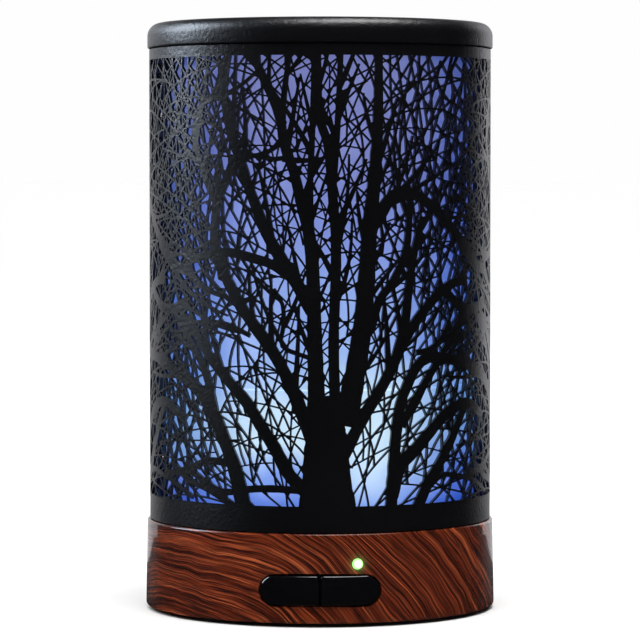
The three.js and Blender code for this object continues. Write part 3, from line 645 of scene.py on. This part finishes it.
# ---- Buttons ----
# The pill is two separate keys moulded in gloss black, side by side in one window. Each is crowned, with a
# rolled edge and rounded corners at the split. A flange behind the wall keeps it in, and a post reaches its
# switch.
BUTTON_CROWN, BUTTON_BACK, BUTTON_SPLIT, BUTTON_ROLL = 48.35, 44.0, 0.12, 0.85
BUTTON_DOME, BUTTON_CORNER, BUTTON_FLANGE = 0.16, 0.95, 0.9
POST_X, POST_RADIUS, POST_NEAR, POST_FAR = 8, 1.6, -40.7, -44.2
gloss_black = textured_finish("gloss_black", (0.0010, 0.0010, 0.0014), (0.0018, 0.0018, 0.0024),
                              (0.10, 0.15), 2.0, 0.002, Coat_Weight=0.5, Coat_Roughness=0.04)


def key_outline(side, grow=0.0):
    """One half of the pill, counter-clockwise: a half circle, then two corners rounded at the split."""
    a = np.linspace(-np.pi / 2, np.pi / 2, 33)
    end, radius, corner = PILL_HALF_WIDTH - PILL_HALF_HEIGHT, PILL_HALF_HEIGHT + grow, BUTTON_CORNER
    arc = np.column_stack([end + radius * np.cos(a), radius * np.sin(a)])
    q = np.linspace(np.pi / 2, np.pi, 7)
    top = np.column_stack([BUTTON_SPLIT + corner + corner * np.cos(q), radius - corner + corner * np.sin(q)])
    straight = np.linspace(arc[-1], top[0], 8)[1:-1]
    whole = np.vstack([arc, straight, top, (top * [1, -1])[::-1], (straight * [1, -1])[::-1]])
    return whole * [side, 1] if side > 0 else (whole * [side, 1])[::-1]


def drawn_in(outline, depth):
    """An outline moved inwards along its normals by a depth."""
    way = np.roll(outline, -1, 0) - np.roll(outline, 1, 0)
    way /= np.linalg.norm(way, axis=1)[:, None]
    return outline + np.column_stack([-way[:, 1], way[:, 0]]) * depth


def on_drum(outline, radius):
    """An outline laid on a drum about the upright axis: y = -sqrt(radius^2 - x^2)."""
    x, z = outline[:, 0], outline[:, 1] + PILL_Z
    return np.column_stack([x, -np.sqrt(radius**2 - x**2), z])


def key_shells(side):
    """The key's cap as rings from its back to its crown, where roll r turns the edge over by r(1 - cos)
    inwards and r(1 - sin) down, and the crown rises by the dome; then its flange and its post."""
    outline = key_outline(side)
    middle = outline.mean(0)
    turn = np.radians([0, 20, 40, 60, 78, 90])
    edge = drawn_in(outline, BUTTON_ROLL)
    rings = [on_drum(outline, BUTTON_BACK)]
    rings += [on_drum(drawn_in(outline, BUTTON_ROLL * (1 - np.cos(a))),
                      BUTTON_CROWN - BUTTON_DOME - BUTTON_ROLL * (1 - np.sin(a))) for a in turn]
    rings += [on_drum((edge - middle) * t + middle, BUTTON_CROWN - BUTTON_DOME * t**2)
              for t in (0.9, 0.7, 0.45, 0.2)]
    flange = key_outline(side, BUTTON_FLANGE)
    flange_steps = ((0.15, 43.8), (0, 43.95), (0, 44.85), (0.15, 45))
    flange = lofted([on_drum(drawn_in(flange, inwards), radius) for inwards, radius in flange_steps])
    a = np.linspace(0, 2 * np.pi, 24, endpoint=False)
    x, z = POST_X * side + POST_RADIUS * np.cos(a), PILL_Z + POST_RADIUS * np.sin(a)
    post = lofted([np.column_stack([x, np.full(24, y), z]) for y in (POST_NEAR, POST_FAR)])
    return [lofted(rings), flange, post]


for name, side in (("mist_button", -1), ("light_button", 1)):
    new_piece(f"{name}_key", key_shells(side), [gloss_black], name, [name], sharp=50)

# ---- Indicator lens ----
# A clear moulded light guide, pressed in behind the wall with a collar that stops it. Its domed tip stands in
# the hole and shines green-white, greener towards its edge.
LENS_RADIUS, LENS_COLLAR, LENS_TIP, LENS_DOME, LENS_BACK = 1.25, 1.8, -46.98, 0.5, -37.2
COLLAR_NEAR, COLLAR_FAR = -42.4, -43.4
lens_glow, tree, shader = new_material("lens_glow", Roughness=0.15, Emission_Strength=1.7)
shader.inputs["Base Color"].default_value = (0.45, 0.8, 0.25, 1)
offset = node(tree, "VectorMath", {0: node(tree, "TexCoord").outputs["Object"],
                                   1: (LAMP_X * MM, -47.0 * MM, LAMP_Z * MM)}, operation="DISTANCE")
rim = ranged(tree, offset.outputs["Value"], 0.3 * MM, 1.3 * MM)
feed(tree, shader, Emission_Color=mixed(tree, rim, (0.86, 1.0, 0.82), (0.22, 0.62, 0.16)))


def along_y(outline, centre, steps=SMALL_ROUND):
    """A closed outline of (radius, y) points turned about a line through centre along Y."""
    a = np.linspace(0, 2 * np.pi, steps, endpoint=False)[:, None]
    r, y = np.asarray(outline, float).T
    points = np.stack([centre[0] + r * np.cos(a), y + 0 * a, centre[1] + r * np.sin(a)], -1)
    return points.reshape(-1, 3), grid_faces(steps, len(r), True, True)


dome = np.radians([0, 22, 45, 68, 90])
tip = np.column_stack([LENS_RADIUS * np.cos(dome), LENS_TIP + LENS_DOME - LENS_DOME * np.sin(dome)])
lens = along_y([(0, LENS_BACK), (LENS_RADIUS, LENS_BACK), (LENS_RADIUS, COLLAR_NEAR),
                (LENS_COLLAR, COLLAR_NEAR), (LENS_COLLAR, COLLAR_FAR), (LENS_RADIUS, COLLAR_FAR), *tip],
               (LAMP_X, LAMP_Z))
new_piece("lens", [lens], [lens_glow], "base", ["indicator_lens"])

# ---- Power socket ----
# A round barrel socket stands in the hole at the back of the case: a black moulded body with a chamfered
# mouth, and a nickel-plated pin at its middle.
socket_body = along_y(softened([(3.2, 34), (4.3, 34), (4.3, 44.8), (3.7, 44.8), (3.2, 44.2)],
                               [0.1, 0.2, 0.5, 0.1, 0.1]), (0, SOCKET_Z))
socket_back = along_y([(0, 31.5), (4.3, 31.5), (4.3, 34.2), (0, 34.2)], (0, SOCKET_Z))
pin = along_y([(0, 34.2), (1.05, 34.2), (1.05, 43.3), (0.75, 43.75), (0.35, 43.8), (0, 43.8)],
              (0, SOCKET_Z), 24)
new_piece("socket", [socket_body, socket_back], [matte_plastic], "base",
          ["power_socket"])
new_piece("socket_pin", [pin], [screw_steel], "base", ["power_socket_pin"])

# ---- Inner cover ----
# A thin cover moulded in milky plastic stands on the tank's rim, with the lamps' light painted on it as a
# glow. A lip inside its foot centres it.
# A short tube, pressed into its sloping roof, leads the mist to the lid's hole.
COVER_FOOT, COVER_SHOULDER, CHIMNEY_TOP, CHIMNEY_BORE = 62.3, 146.5, 158.0, 5.2
inner_outline = softened([(TANK_OUTER, COVER_FOOT), (41.8, COVER_SHOULDER), (40.7, COVER_SHOULDER + 3.4),
                          (37.4, COVER_SHOULDER + 5.4), (7.2, COVER_SHOULDER + 7.4), (6.8, CHIMNEY_TOP),
                          (4.8, CHIMNEY_TOP), (CHIMNEY_BORE, COVER_SHOULDER - 2), (6.8, COVER_SHOULDER - 2),
                          (6.8, COVER_SHOULDER + 5.6), (38.4, COVER_SHOULDER + 3.2),
                          (40.3, COVER_SHOULDER - 1), (40.7, 66.5), (38.6, 64.5), (38.6, 57.5), (40, 57.5),
                          (40, COVER_FOOT)], [0.4, 3.0, 3.0, 3.0, 2.0, 0.5, 0.3, 0.3, 0.3, 1.0, 2.0, 2.0,
                                              1.0, 1.0, 0.3, 0.3, 0.2])
new_piece("glowing_cover", [turned(inner_outline)], [painted_glow_milky], "inner_cover",
          ["inner_cover", "mist_chimney"])

# ---- Outer sleeve ----
# Sheet steel 0.8 mm thick, etched through with three bare trees side by side, rolled into a tube and welded,
# then powder-coated black with a fine texture. Twigs cross between the limbs like a net, and none ends free.
SLEEVE_OUTER, SLEEVE_INNER, SLEEVE_LOW, SLEEVE_HIGH = 46.9, 46.1, 24.9, 153.2
TREES = 3
PITCH = 2 * np.pi * SLEEVE_OUTER / TREES
HALF = PITCH / 2
CUT_LOW, CUT_HIGH = 31.8, 150.3  # the plain bands below and above the pattern
OVERLAP = 16.0  # how far the net is worked out beyond one tree
LEAST_OPENING = 0.16  # the smallest hole that is etched, in square millimetres
NUDGE = 0.004  # a step off an edge, to tell whether metal lies beside it
LIMBS = [
    # width at its root, width at its tip, route of (across, up) points
    (15.0, 8.6, [(2, 30), (1.6, 45), (1.0, 61)]),
    (4.6, 2.3, [(-0.8, 56), (-1.5, 80), (-2, 95), (-3, 104), (-5, 112), (-7, 120), (-9.5, 127),
          (-10.5, 135)]),
    (1.8, 1.5, [(-2.2, 98), (-2.6, 112), (-2.4, 122), (-1.8, 135), (-1.5, 151)]),
    (2.6, 2.2, [(-10, 132), (-12.5, 139), (-15, 144), (-18.6, 151)]),
    (1.7, 1.4, [(-10, 132), (-9.5, 140), (-8, 151)]),
    (3.0, 2.2, [(4, 58), (3.6, 75), (4.2, 95), (4, 105), (3, 117), (2, 127), (-0.3, 135), (-0.8, 151)]),
    (1.8, 1.4, [(3.5, 116), (4.5, 130), (5, 140), (5.5, 151)]),
    (6.2, 2.1, [(6.6, 53), (9, 65), (11, 77), (12.3, 90), (13.3, 105), (14.8, 120), (15.6, 135),
          (15.8, 151)]),
    (2.6, 3.0, [(13.4, 101), (15, 107), (18, 112), (22, 114.5), (27, 113.5), (33, 110), (38, 106),
          (43, 102), (49, 96)]),
    (2.4, 1.8, [(13.4, 78), (16, 86), (20, 91), (24, 100), (25, 113.6)]),
    (3.4, 2.4, [(6, 45), (12, 56), (16, 62), (19.5, 68), (22.5, 74), (26, 79), (30, 83.5), (35, 87.5),
          (40, 90), (47, 91)]),
    (3.0, 1.8, [(21, 71), (23.5, 80), (24.5, 88), (26, 97), (29, 108)]),
    (3.4, 2.6, [(19.3, 30), (20, 40), (20.8, 50), (22, 58), (24, 63), (27, 68), (31, 70.5), (38, 70),
          (45, 68.5), (53, 66.6)]),
    (2.4, 1.8, [(22.4, 52.6), (25.6, 58), (30, 64), (35, 70), (40, 76), (46, 84)]),
    (1.6, 1.4, [(27, 72), (31, 72.5), (36, 75), (41, 77), (47, 80.4)]),
    (4.0, 2.4, [(19.4, 34), (22, 42), (27, 46.5), (32, 51), (37, 55), (43, 57.5), (49, 57.5), (57, 53.6)]),
    (3.4, 2.4, [(27, 30), (31, 37), (35, 42), (39, 47), (43, 53), (46.4, 57.4)]),
    (1.5, 1.2, [(31, 36), (36, 39), (42, 38.5), (48, 37.5), (53, 36), (60, 33)]),
    (2.4, 3.0, [(34, 88), (37.6, 87.6), (43, 84), (50, 83), (58, 84.4)]),
    (4.4, 2.4, [(44, 101), (48, 98), (52, 95), (60, 93)]),
    (3.6, 2.5, [(-3, 35), (-8, 40), (-12, 47), (-16, 53), (-20, 59), (-24, 63), (-28, 67), (-32, 71),
          (-36, 76), (-42, 81.4)]),
    (3.6, 3.0, [(-2, 49), (-5, 57), (-7.5, 63), (-10.5, 69), (-14, 74.5), (-18, 79.5), (-21.5, 84), (-24, 88),
          (-27, 93), (-30, 98)]),
    (1.2, 1.0, [(-3, 71), (-10, 74), (-9.6, 80), (-10, 85), (-12.4, 89)]),
    (3.6, 2.0, [(-2, 83), (-7, 92), (-11, 98), (-14.5, 104), (-17, 110), (-19.5, 116), (-21.5, 122),
          (-24, 128), (-26, 135), (-27, 142), (-25.6, 151)]),
    (2.7, 2.2, [(-5, 90), (-12, 95), (-18, 97), (-25, 98.5), (-31, 98), (-40, 96)]),
    (2.8, 2.2, [(-30, 96), (-30, 105), (-29, 112), (-26, 118), (-23.6, 124)]),
    (2.2, 1.8, [(-29, 111), (-33, 118), (-36, 125), (-37, 132), (-34, 138), (-30, 140), (-26.6, 149)]),
    (1.4, 1.2, [(-22, 123), (-18, 124), (-12, 123), (-7, 124)]),
    (1.9, 1.6, [(-4, 36), (-13, 36.4), (-20, 36), (-27, 35), (-33, 37), (-38, 39.5), (-46, 40)]),
    (2.0, 1.6, [(-23.6, 42.2), (-28, 43), (-33, 43), (-38, 41), (-44, 39.5), (-52, 38.6)]),
    (1.8, 1.5, [(-22, 30.6), (-30, 34.5), (-34, 36), (-38, 37), (-42, 38.5), (-47, 41.6)]),
    (4.4, 2.8, [(-20.6, 30), (-23.5, 41), (-26.5, 48), (-29.5, 54), (-33, 59), (-37, 62.5), (-42, 65),
          (-48, 67), (-56, 71.6)]),
    (2.6, 2.0, [(-29.4, 53), (-31, 60), (-33, 66), (-36, 71), (-40, 76), (-46, 82)]),
    (1.2, 1.0, [(-19, 76.6), (-26, 79.5), (-33, 80), (-40, 79), (-48, 75)]),
]


def through_points(points, step):
    """A route through its points by Catmull-Rom splines: cubics whose tangent at a point is half the way
    between that point's neighbours. Sampled about every step."""
    p = np.array(points, float)
    p = np.vstack([2 * p[0] - p[1], p, 2 * p[-1] - p[-2]])
    spans = []
    for a, b, c, d in zip(p[:-3], p[1:-2], p[2:-1], p[3:]):
        t = np.linspace(0, 1, max(1, round(np.linalg.norm(c - b) / step)), endpoint=False)[:, None]
        squared, cubed = (2 * a - 5 * b + 4 * c - d) * t**2 / 2, (3 * b - a - 3 * c + d) * t**3 / 2
        spans.append(b + (c - a) * t / 2 + squared + cubed)
    return np.vstack([*spans, p[-2:-1]])


def stroke(route, widths):
    """The outline of a limb: its route moved half its width to each side."""
    way = np.gradient(route, axis=0)
    way /= np.linalg.norm(way, axis=1)[:, None] + 1e-12
    reach = np.column_stack([-way[:, 1], way[:, 0]]) * (np.asarray(widths) / 2)[:, None]
    return np.vstack([route + reach, (route - reach)[::-1]])


FLOW_FROM, FLOW_SQUEEZE = (1.5, 16), 0.92


def flow(p):
    """The way that twigs run: away from a point low in the trunk, a little steeper than a straight line."""
    return np.arctan2(p[..., 1] - FLOW_FROM[1], (p[..., 0] - FLOW_FROM[0]) * FLOW_SQUEEZE)


def grown(start, heading, lean, bend, pull, length):
    """Routes grown in steps of 1 mm. Each step turns by its bend, and by pull times the angle that is left to
    the flow plus its lean."""
    at, routes = start, [start]
    for _ in range(int(length.max())):
        heading = heading + bend + pull * ((flow(at) + lean - heading + np.pi) % (2 * np.pi) - np.pi)
        at = at + np.column_stack([np.cos(heading), np.sin(heading)])
        routes.append(at)
    routes = np.stack(routes, 1)
    return [r[:int(n) + 1] for r, n in zip(routes, length)]


def scattered(rng, across, up):
    """One random point in each cell of a grid over one tree, in random order."""
    height = CUT_HIGH - CUT_LOW + 8
    nu, nz = round(PITCH / across), round(height / up)
    u, z = np.meshgrid(np.arange(nu), np.arange(nz), indexing="ij")
    points = np.stack([u, z], -1) + rng.uniform(0, 1, (nu, nz, 2))
    points = points.reshape(-1, 2) * [PITCH / nu, height / nz] + [-HALF, CUT_LOW - 6]
    return points[rng.permutation(len(points))]


# a map of one tree, in cells of a size and for each of some directions: True where a line has claimed the
# cell
CLAIM_CELL, CLAIM_WAYS, CLAIM_HEIGHT = 0.4, 24, 130
claimed = np.zeros((CLAIM_WAYS, round(PITCH / CLAIM_CELL), round(CLAIM_HEIGHT / CLAIM_CELL)), bool)


def claim(route, gap, least=0.0):
    """How much of a route is already claimed by lines that run the same way beside it. If that share is at
    most least, the route claims the cells within its gap for itself and its two neighbouring directions."""
    d = np.gradient(route, axis=0)
    way = (np.arctan2(d[:, 1], d[:, 0]) % np.pi / np.pi * CLAIM_WAYS).astype(int) % CLAIM_WAYS
    u = np.floor(route[:, 0] / CLAIM_CELL).astype(int)
    z = np.floor((route[:, 1] - SLEEVE_LOW) / CLAIM_CELL).astype(int)
    w, h = claimed.shape[1:]
    share = claimed[way, u % w, np.clip(z, 0, h - 1)].mean()
    if share > least:
        return share
    reach = int(np.ceil(gap.max() / CLAIM_CELL))
    du, dz = (g.ravel() for g in np.mgrid[-reach:reach + 1, -reach:reach + 1])
    close = np.hypot(du, dz)[None] * CLAIM_CELL < gap[:, None]
    i, j = np.nonzero(close)
    for turn in (-1, 0, 1):
        claimed[(way[i] + turn) % CLAIM_WAYS, (u[i] + du[j]) % w, np.clip(z[i] + dz[j], 0, h - 1)] = True
    return share


TWIGS = [
    # cell across and up (one start in each), lean from the flow, length, gap low down and high up
    ((1.2, 8), (0.10, 0.26), (40, 70), (2.6, 1.8)),
    ((1.6, 5), (0.20, 0.42), (26, 44), (2.7, 2.0)),
    ((2.2, 3.6), (0.75, 1.15), (26, 46), (3.4, 4.2)),
]
TWIG_WIDTH, TWIG_SHARE = (0.36, 0.52), 0.25
OFFSHOOT_EVERY, OFFSHOOT_LENGTH, OFFSHOOT_WIDTH = 7.0, (14, 30), (1.0, 2.0)
OFFSHOOT_GAP, OFFSHOOT_SHARE, OFFSHOOT_TIP = 1.6, 0.3, 0.5
OFFSHOOT_LOWEST, OFFSHOOT_LIMB = 60, 7  # none starts lower than this, or on a limb as wide as that


def tree_lines():
    """The limbs and offshoots as outlines, and the twigs as routes with their widths. They are tried one
    after another, and one is left out when more than its share runs alongside other lines."""
    rng = np.random.default_rng(11)
    outlines, starts, headings = [], [], []
    for first, last, points in LIMBS:
        route = through_points(points, 2.2)
        outlines.append(stroke(route, np.linspace(first, last, len(route)) * rng.normal(1, 0.03, len(route))))
        fine = through_points(points, 1.0)
        claim(fine, np.linspace(first, last, len(fine)) / 2 + 1.2, 1.0)
        k = np.arange(rng.uniform(2, OFFSHOOT_EVERY), len(fine) - 2, OFFSHOOT_EVERY).astype(int)
        k = k[(fine[k, 1] > OFFSHOOT_LOWEST) & (np.linspace(first, last, len(fine))[k] < OFFSHOOT_LIMB)]
        d = fine[k + 1] - fine[k - 1]
        starts.append(fine[k])
        side = rng.choice([-1, 1], len(k))
        headings.append(np.arctan2(d[:, 1], d[:, 0]) + side * rng.uniform(0.3, 0.6, len(k)))
    starts, headings = np.vstack(starts), np.concatenate(headings)
    n = len(starts)
    shoots = grown(starts, headings, rng.normal(0, 0.25, n), rng.normal(0, 0.01, n), 0.03,
                   rng.uniform(*OFFSHOOT_LENGTH, n))
    for route, width in zip(shoots, rng.uniform(*OFFSHOOT_WIDTH, n)):
        if claim(route[4:], np.full(len(route) - 4, OFFSHOOT_GAP), OFFSHOOT_SHARE) <= OFFSHOOT_SHARE:
            outlines.append(stroke(route[::2], np.linspace(width, OFFSHOOT_TIP, len(route[::2]))))
    routes, widths = [], []
    for cell, lean, length, gap in TWIGS:
        seeds = scattered(rng, *cell)
        n = len(seeds)
        leans = rng.choice([-1, 1], n) * rng.uniform(*lean, n)
        lengths = rng.uniform(*length, n)
        heading = flow(seeds) + leans
        seeds = seeds - np.column_stack([np.cos(heading), np.sin(heading)]) * (lengths / 2)[:, None]
        grow = grown(seeds, flow(seeds) + leans, leans, rng.normal(0, 0.016, n), 0.006, lengths)
        for route, width in zip(grow, rng.uniform(*TWIG_WIDTH, n)):
            if claim(route, np.interp(route[:, 1], [35, 110], gap), TWIG_SHARE) <= TWIG_SHARE:
                routes.append(np.vstack([route[:-1:3], route[-1:]]))
                widths.append(width)
    return outlines, routes, widths


def planar_net(lines, widths, outlines):
    """Cuts lines and outlines where they cross. Returns the points, the edges between them, and each edge's
    half width (0 on an outline)."""
    points = [*lines, *outlines]
    starts = np.concatenate([[0], np.cumsum([len(p) for p in points])])
    edges, half = [], []
    for k, (p, start) in enumerate(zip(points, starts)):
        n, is_line = len(p), k < len(lines)
        i = np.arange(n - 1 if is_line else n)
        edges.append(np.column_stack([i, (i + 1) % n]) + start)
        half.append(np.full(len(i), widths[k] / 2 if is_line else 0.0))
    half = np.concatenate(half)
    flat = [Vector(p) for p in np.vstack(points).tolist()]
    made = delaunay_2d_cdt(flat, np.vstack(edges).tolist(), [], 2, 1e-4, True)
    own = [i for i, source in enumerate(made[4]) if source]
    thin = np.array([half[made[4][i]].min() for i in own])
    return np.array([tuple(v) for v in made[0]]), np.array(made[1])[own], thin


def without_ends(count, edges, half):
    """Takes away edges that end free, again and again, and then whatever isn't joined to an outline."""
    while True:
        joined_both = (np.bincount(edges.ravel(), minlength=count)[edges] > 1).all(1)
        if joined_both.all():
            break
        edges, half = edges[joined_both], half[joined_both]
    label = np.arange(count)
    while True:
        least = np.minimum(label[edges[:, 0]], label[edges[:, 1]])
        new = label.copy()
        np.minimum.at(new, edges[:, 0], least)
        np.minimum.at(new, edges[:, 1], least)
        new = new[new]
        if (new == label).all():
            break
        label = new
    held = np.isin(label[edges[:, 0]], label[edges[half == 0, 0]])
    return edges[held], half[held]


def cells_of(points, edges, half):
    """The cells of a net: walks round each with the next edge clockwise. Yields its corners and the half
    width of each of its sides."""
    m = len(edges)
    a, b = np.concatenate([edges, edges[:, ::-1]]).T
    d = points[b] - points[a]
    order = np.lexsort((np.arctan2(d[:, 1], d[:, 0]), a))
    rank = np.empty(2 * m, int)
    rank[order] = np.arange(2 * m)
    first = np.searchsorted(a[order], np.arange(len(points)))
    count = np.bincount(a, minlength=len(points))
    twin = (np.arange(2 * m) + m) % (2 * m)
    s = first[a[twin]]
    following = order[s + (rank[twin] - s - 1) % count[a[twin]]].tolist()
    done = [False] * (2 * m)
    half = np.concatenate([half, half])
    for h in range(2 * m):
        cell = []
        while not done[h]:
            done[h] = True
            cell.append(h)
            h = following[h]
        if len(cell) > 2:
            yield points[a[cell]], half[cell]


def area(p):
    """Half the sum of x_i y_i+1 - x_i+1 y_i: positive for a counter-clockwise outline."""
    return 0.5 * np.sum(p[:, 0] * np.roll(p[:, 1], -1) - np.roll(p[:, 0], -1) * p[:, 1])


def opening(corners, half):
    """The hole in a cell: each side moves inwards by its half width, and a side that would turn over is
    dropped. None if nothing is left."""
    d = np.roll(corners, -1, 0) - corners
    length = np.linalg.norm(d, axis=1)
    keep = length > 1e-6
    d, length, corners, half = d[keep], length[keep], corners[keep], half[keep]
    d /= length[:, None]
    moved = corners + np.column_stack([-d[:, 1], d[:, 0]]) * half[:, None]
    s = np.arange(len(d))
    while len(s) > 2:
        r = np.roll(s, 1)
        cross = d[r, 0] * d[s, 1] - d[r, 1] * d[s, 0]
        gap = moved[s] - moved[r]
        straight = np.abs(cross) < 0.08
        along = (gap[:, 0] * d[s, 1] - gap[:, 1] * d[s, 0]) / np.where(straight, 1, cross)
        c = moved[r] + d[r] * along[:, None]
        c[straight] = (corners[s] + (moved[s] - corners[s]) / 2 + (moved[r] - corners[r]) / 2)[straight]
        turned_over = ((np.roll(c, -1, 0) - c) * d[s]).sum(1)
        if (turned_over > 1e-4).all():
            return c
        s = np.delete(s, turned_over.argmin())
    return None


def beside_longest_side(corners):
    """The point just inside a cell, at the middle of its longest side."""
    sides = np.roll(corners, -1, 0) - corners
    lengths = np.linalg.norm(sides, axis=1)
    k = lengths.argmax()
    way = sides[k] / lengths[k]
    return corners[k] + sides[k] / 2 + NUDGE * np.array([-way[1], way[0]])


outlines, routes, widths = tree_lines()
far = HALF + OVERLAP
lines, line_widths, metal = [], [], []
for shift in (-PITCH, 0, PITCH):
    for route, width in zip(routes, widths):
        route = route + [shift, 0]
        within = (np.abs(route[:, 0]) < far) & (route[:, 1] > CUT_LOW - 2) & (route[:, 1] < CUT_HIGH + 2)
        if within.sum() > 1:
            lines.append(route[within.argmax():len(within) - within[::-1].argmax()])
            line_widths.append(width)
    metal += [o + [shift, 0] for o in outlines if np.abs(o[:, 0] + shift).min() < far]
bands = [np.array([(-far - 2, a), (far + 2, a), (far + 2, b), (-far - 2, b)])
         for a, b in ((SLEEVE_LOW, CUT_LOW), (CUT_HIGH, SLEEVE_HIGH))]
metal += bands
net_points, net, half = planar_net(lines, line_widths, metal)
step = net_points[net[:, 1]] - net_points[net[:, 0]]
aside = np.column_stack([-step[:, 1], step[:, 0]]) / (np.linalg.norm(step, axis=1)[:, None] + 1e-12) * NUDGE
middle = net_points[net].mean(1)
buried = inside(middle + aside, metal) & inside(middle - aside, metal)
net, half = without_ends(len(net_points), net[~buried], half[~buried])
cells = [(c, h) for c, h in cells_of(net_points, net, half) if area(c) > LEAST_OPENING]
open_cells = ~inside(np.array([beside_longest_side(c) for c, _ in cells]), metal)
openings = [opening(c, h) for (c, h), is_open in zip(cells, open_cells) if is_open]
openings = [o for o in openings if o is not None and area(o) > LEAST_OPENING
            and -HALF <= o[:, 0].mean() < HALF and CUT_LOW < o[:, 1].mean() < CUT_HIGH]

powder_coat = textured_finish("powder_coat", (0.0010, 0.0010, 0.0018), (0.0020, 0.0021, 0.0034),
                              (0.32, 0.40), 1.1, 0.15, Specular_IOR_Level=1.0)
sleeve_rows = [SLEEVE_LOW, CUT_LOW - 0.6, CUT_HIGH + 0.6, SLEEVE_HIGH]
sleeve_wall = pierced_wall(openings, sleeve_rows, PITCH, TREES, SLEEVE_OUTER,
                           lambda z: np.full(len(z), SLEEVE_OUTER), lambda z: np.full(len(z), SLEEVE_INNER),
                           3.4, 3)
new_piece("tree_sleeve", [sleeve_wall], [powder_coat], "outer_cover", ["outer_sleeve"],
          recalculate=False)

# ---- Lid ----
# A pressed steel lid in the same black powder coat, with a broad rolled edge and a round mist hole whose rim
# dips. A ring below it plugs into the sleeve, and leaves a hair-thin line where the two meet.
CAP_RADIUS, CAP_BOTTOM, CAP_TOP, CAP_EDGE = 47.4, 153.5, 160.4, 3.5
CAP_HOLE, CAP_PLUG, PLUG_BOTTOM = 10.2, 45.7, CAP_BOTTOM - 3
CAP_UNDER, HOLE_LIP_BOTTOM, HOLE_LIP = 158.2, 157, 2
roll = np.radians(np.linspace(0, 90, 12))
lid_edge = np.column_stack([CAP_RADIUS - CAP_EDGE + CAP_EDGE * np.cos(roll),
                            CAP_TOP - CAP_EDGE + CAP_EDGE * np.sin(roll)])
lid_lower = softened([(44.0, PLUG_BOTTOM), (CAP_PLUG, PLUG_BOTTOM), (CAP_PLUG, CAP_BOTTOM),
                      (CAP_RADIUS, CAP_BOTTOM), (CAP_RADIUS, 156)], [0.3, 0.5, 0.1, 0.5, 0])[:-5]
lid_inner = softened([(CAP_HOLE + 2.4, CAP_TOP), (CAP_HOLE, CAP_TOP - 1.2), (CAP_HOLE, HOLE_LIP_BOTTOM),
                      (CAP_HOLE + HOLE_LIP, HOLE_LIP_BOTTOM), (CAP_HOLE + HOLE_LIP, CAP_UNDER),
                      (42, CAP_UNDER), (44, CAP_UNDER - 2)], [1.6, 0.9, 0.3, 0.3, 0.3, 1.0, 1.0])
lid = turned(np.vstack([lid_lower, lid_edge, lid_inner]))
new_piece("lid", [lid], [powder_coat], "outer_cover", ["top_cap"], sharp=40)
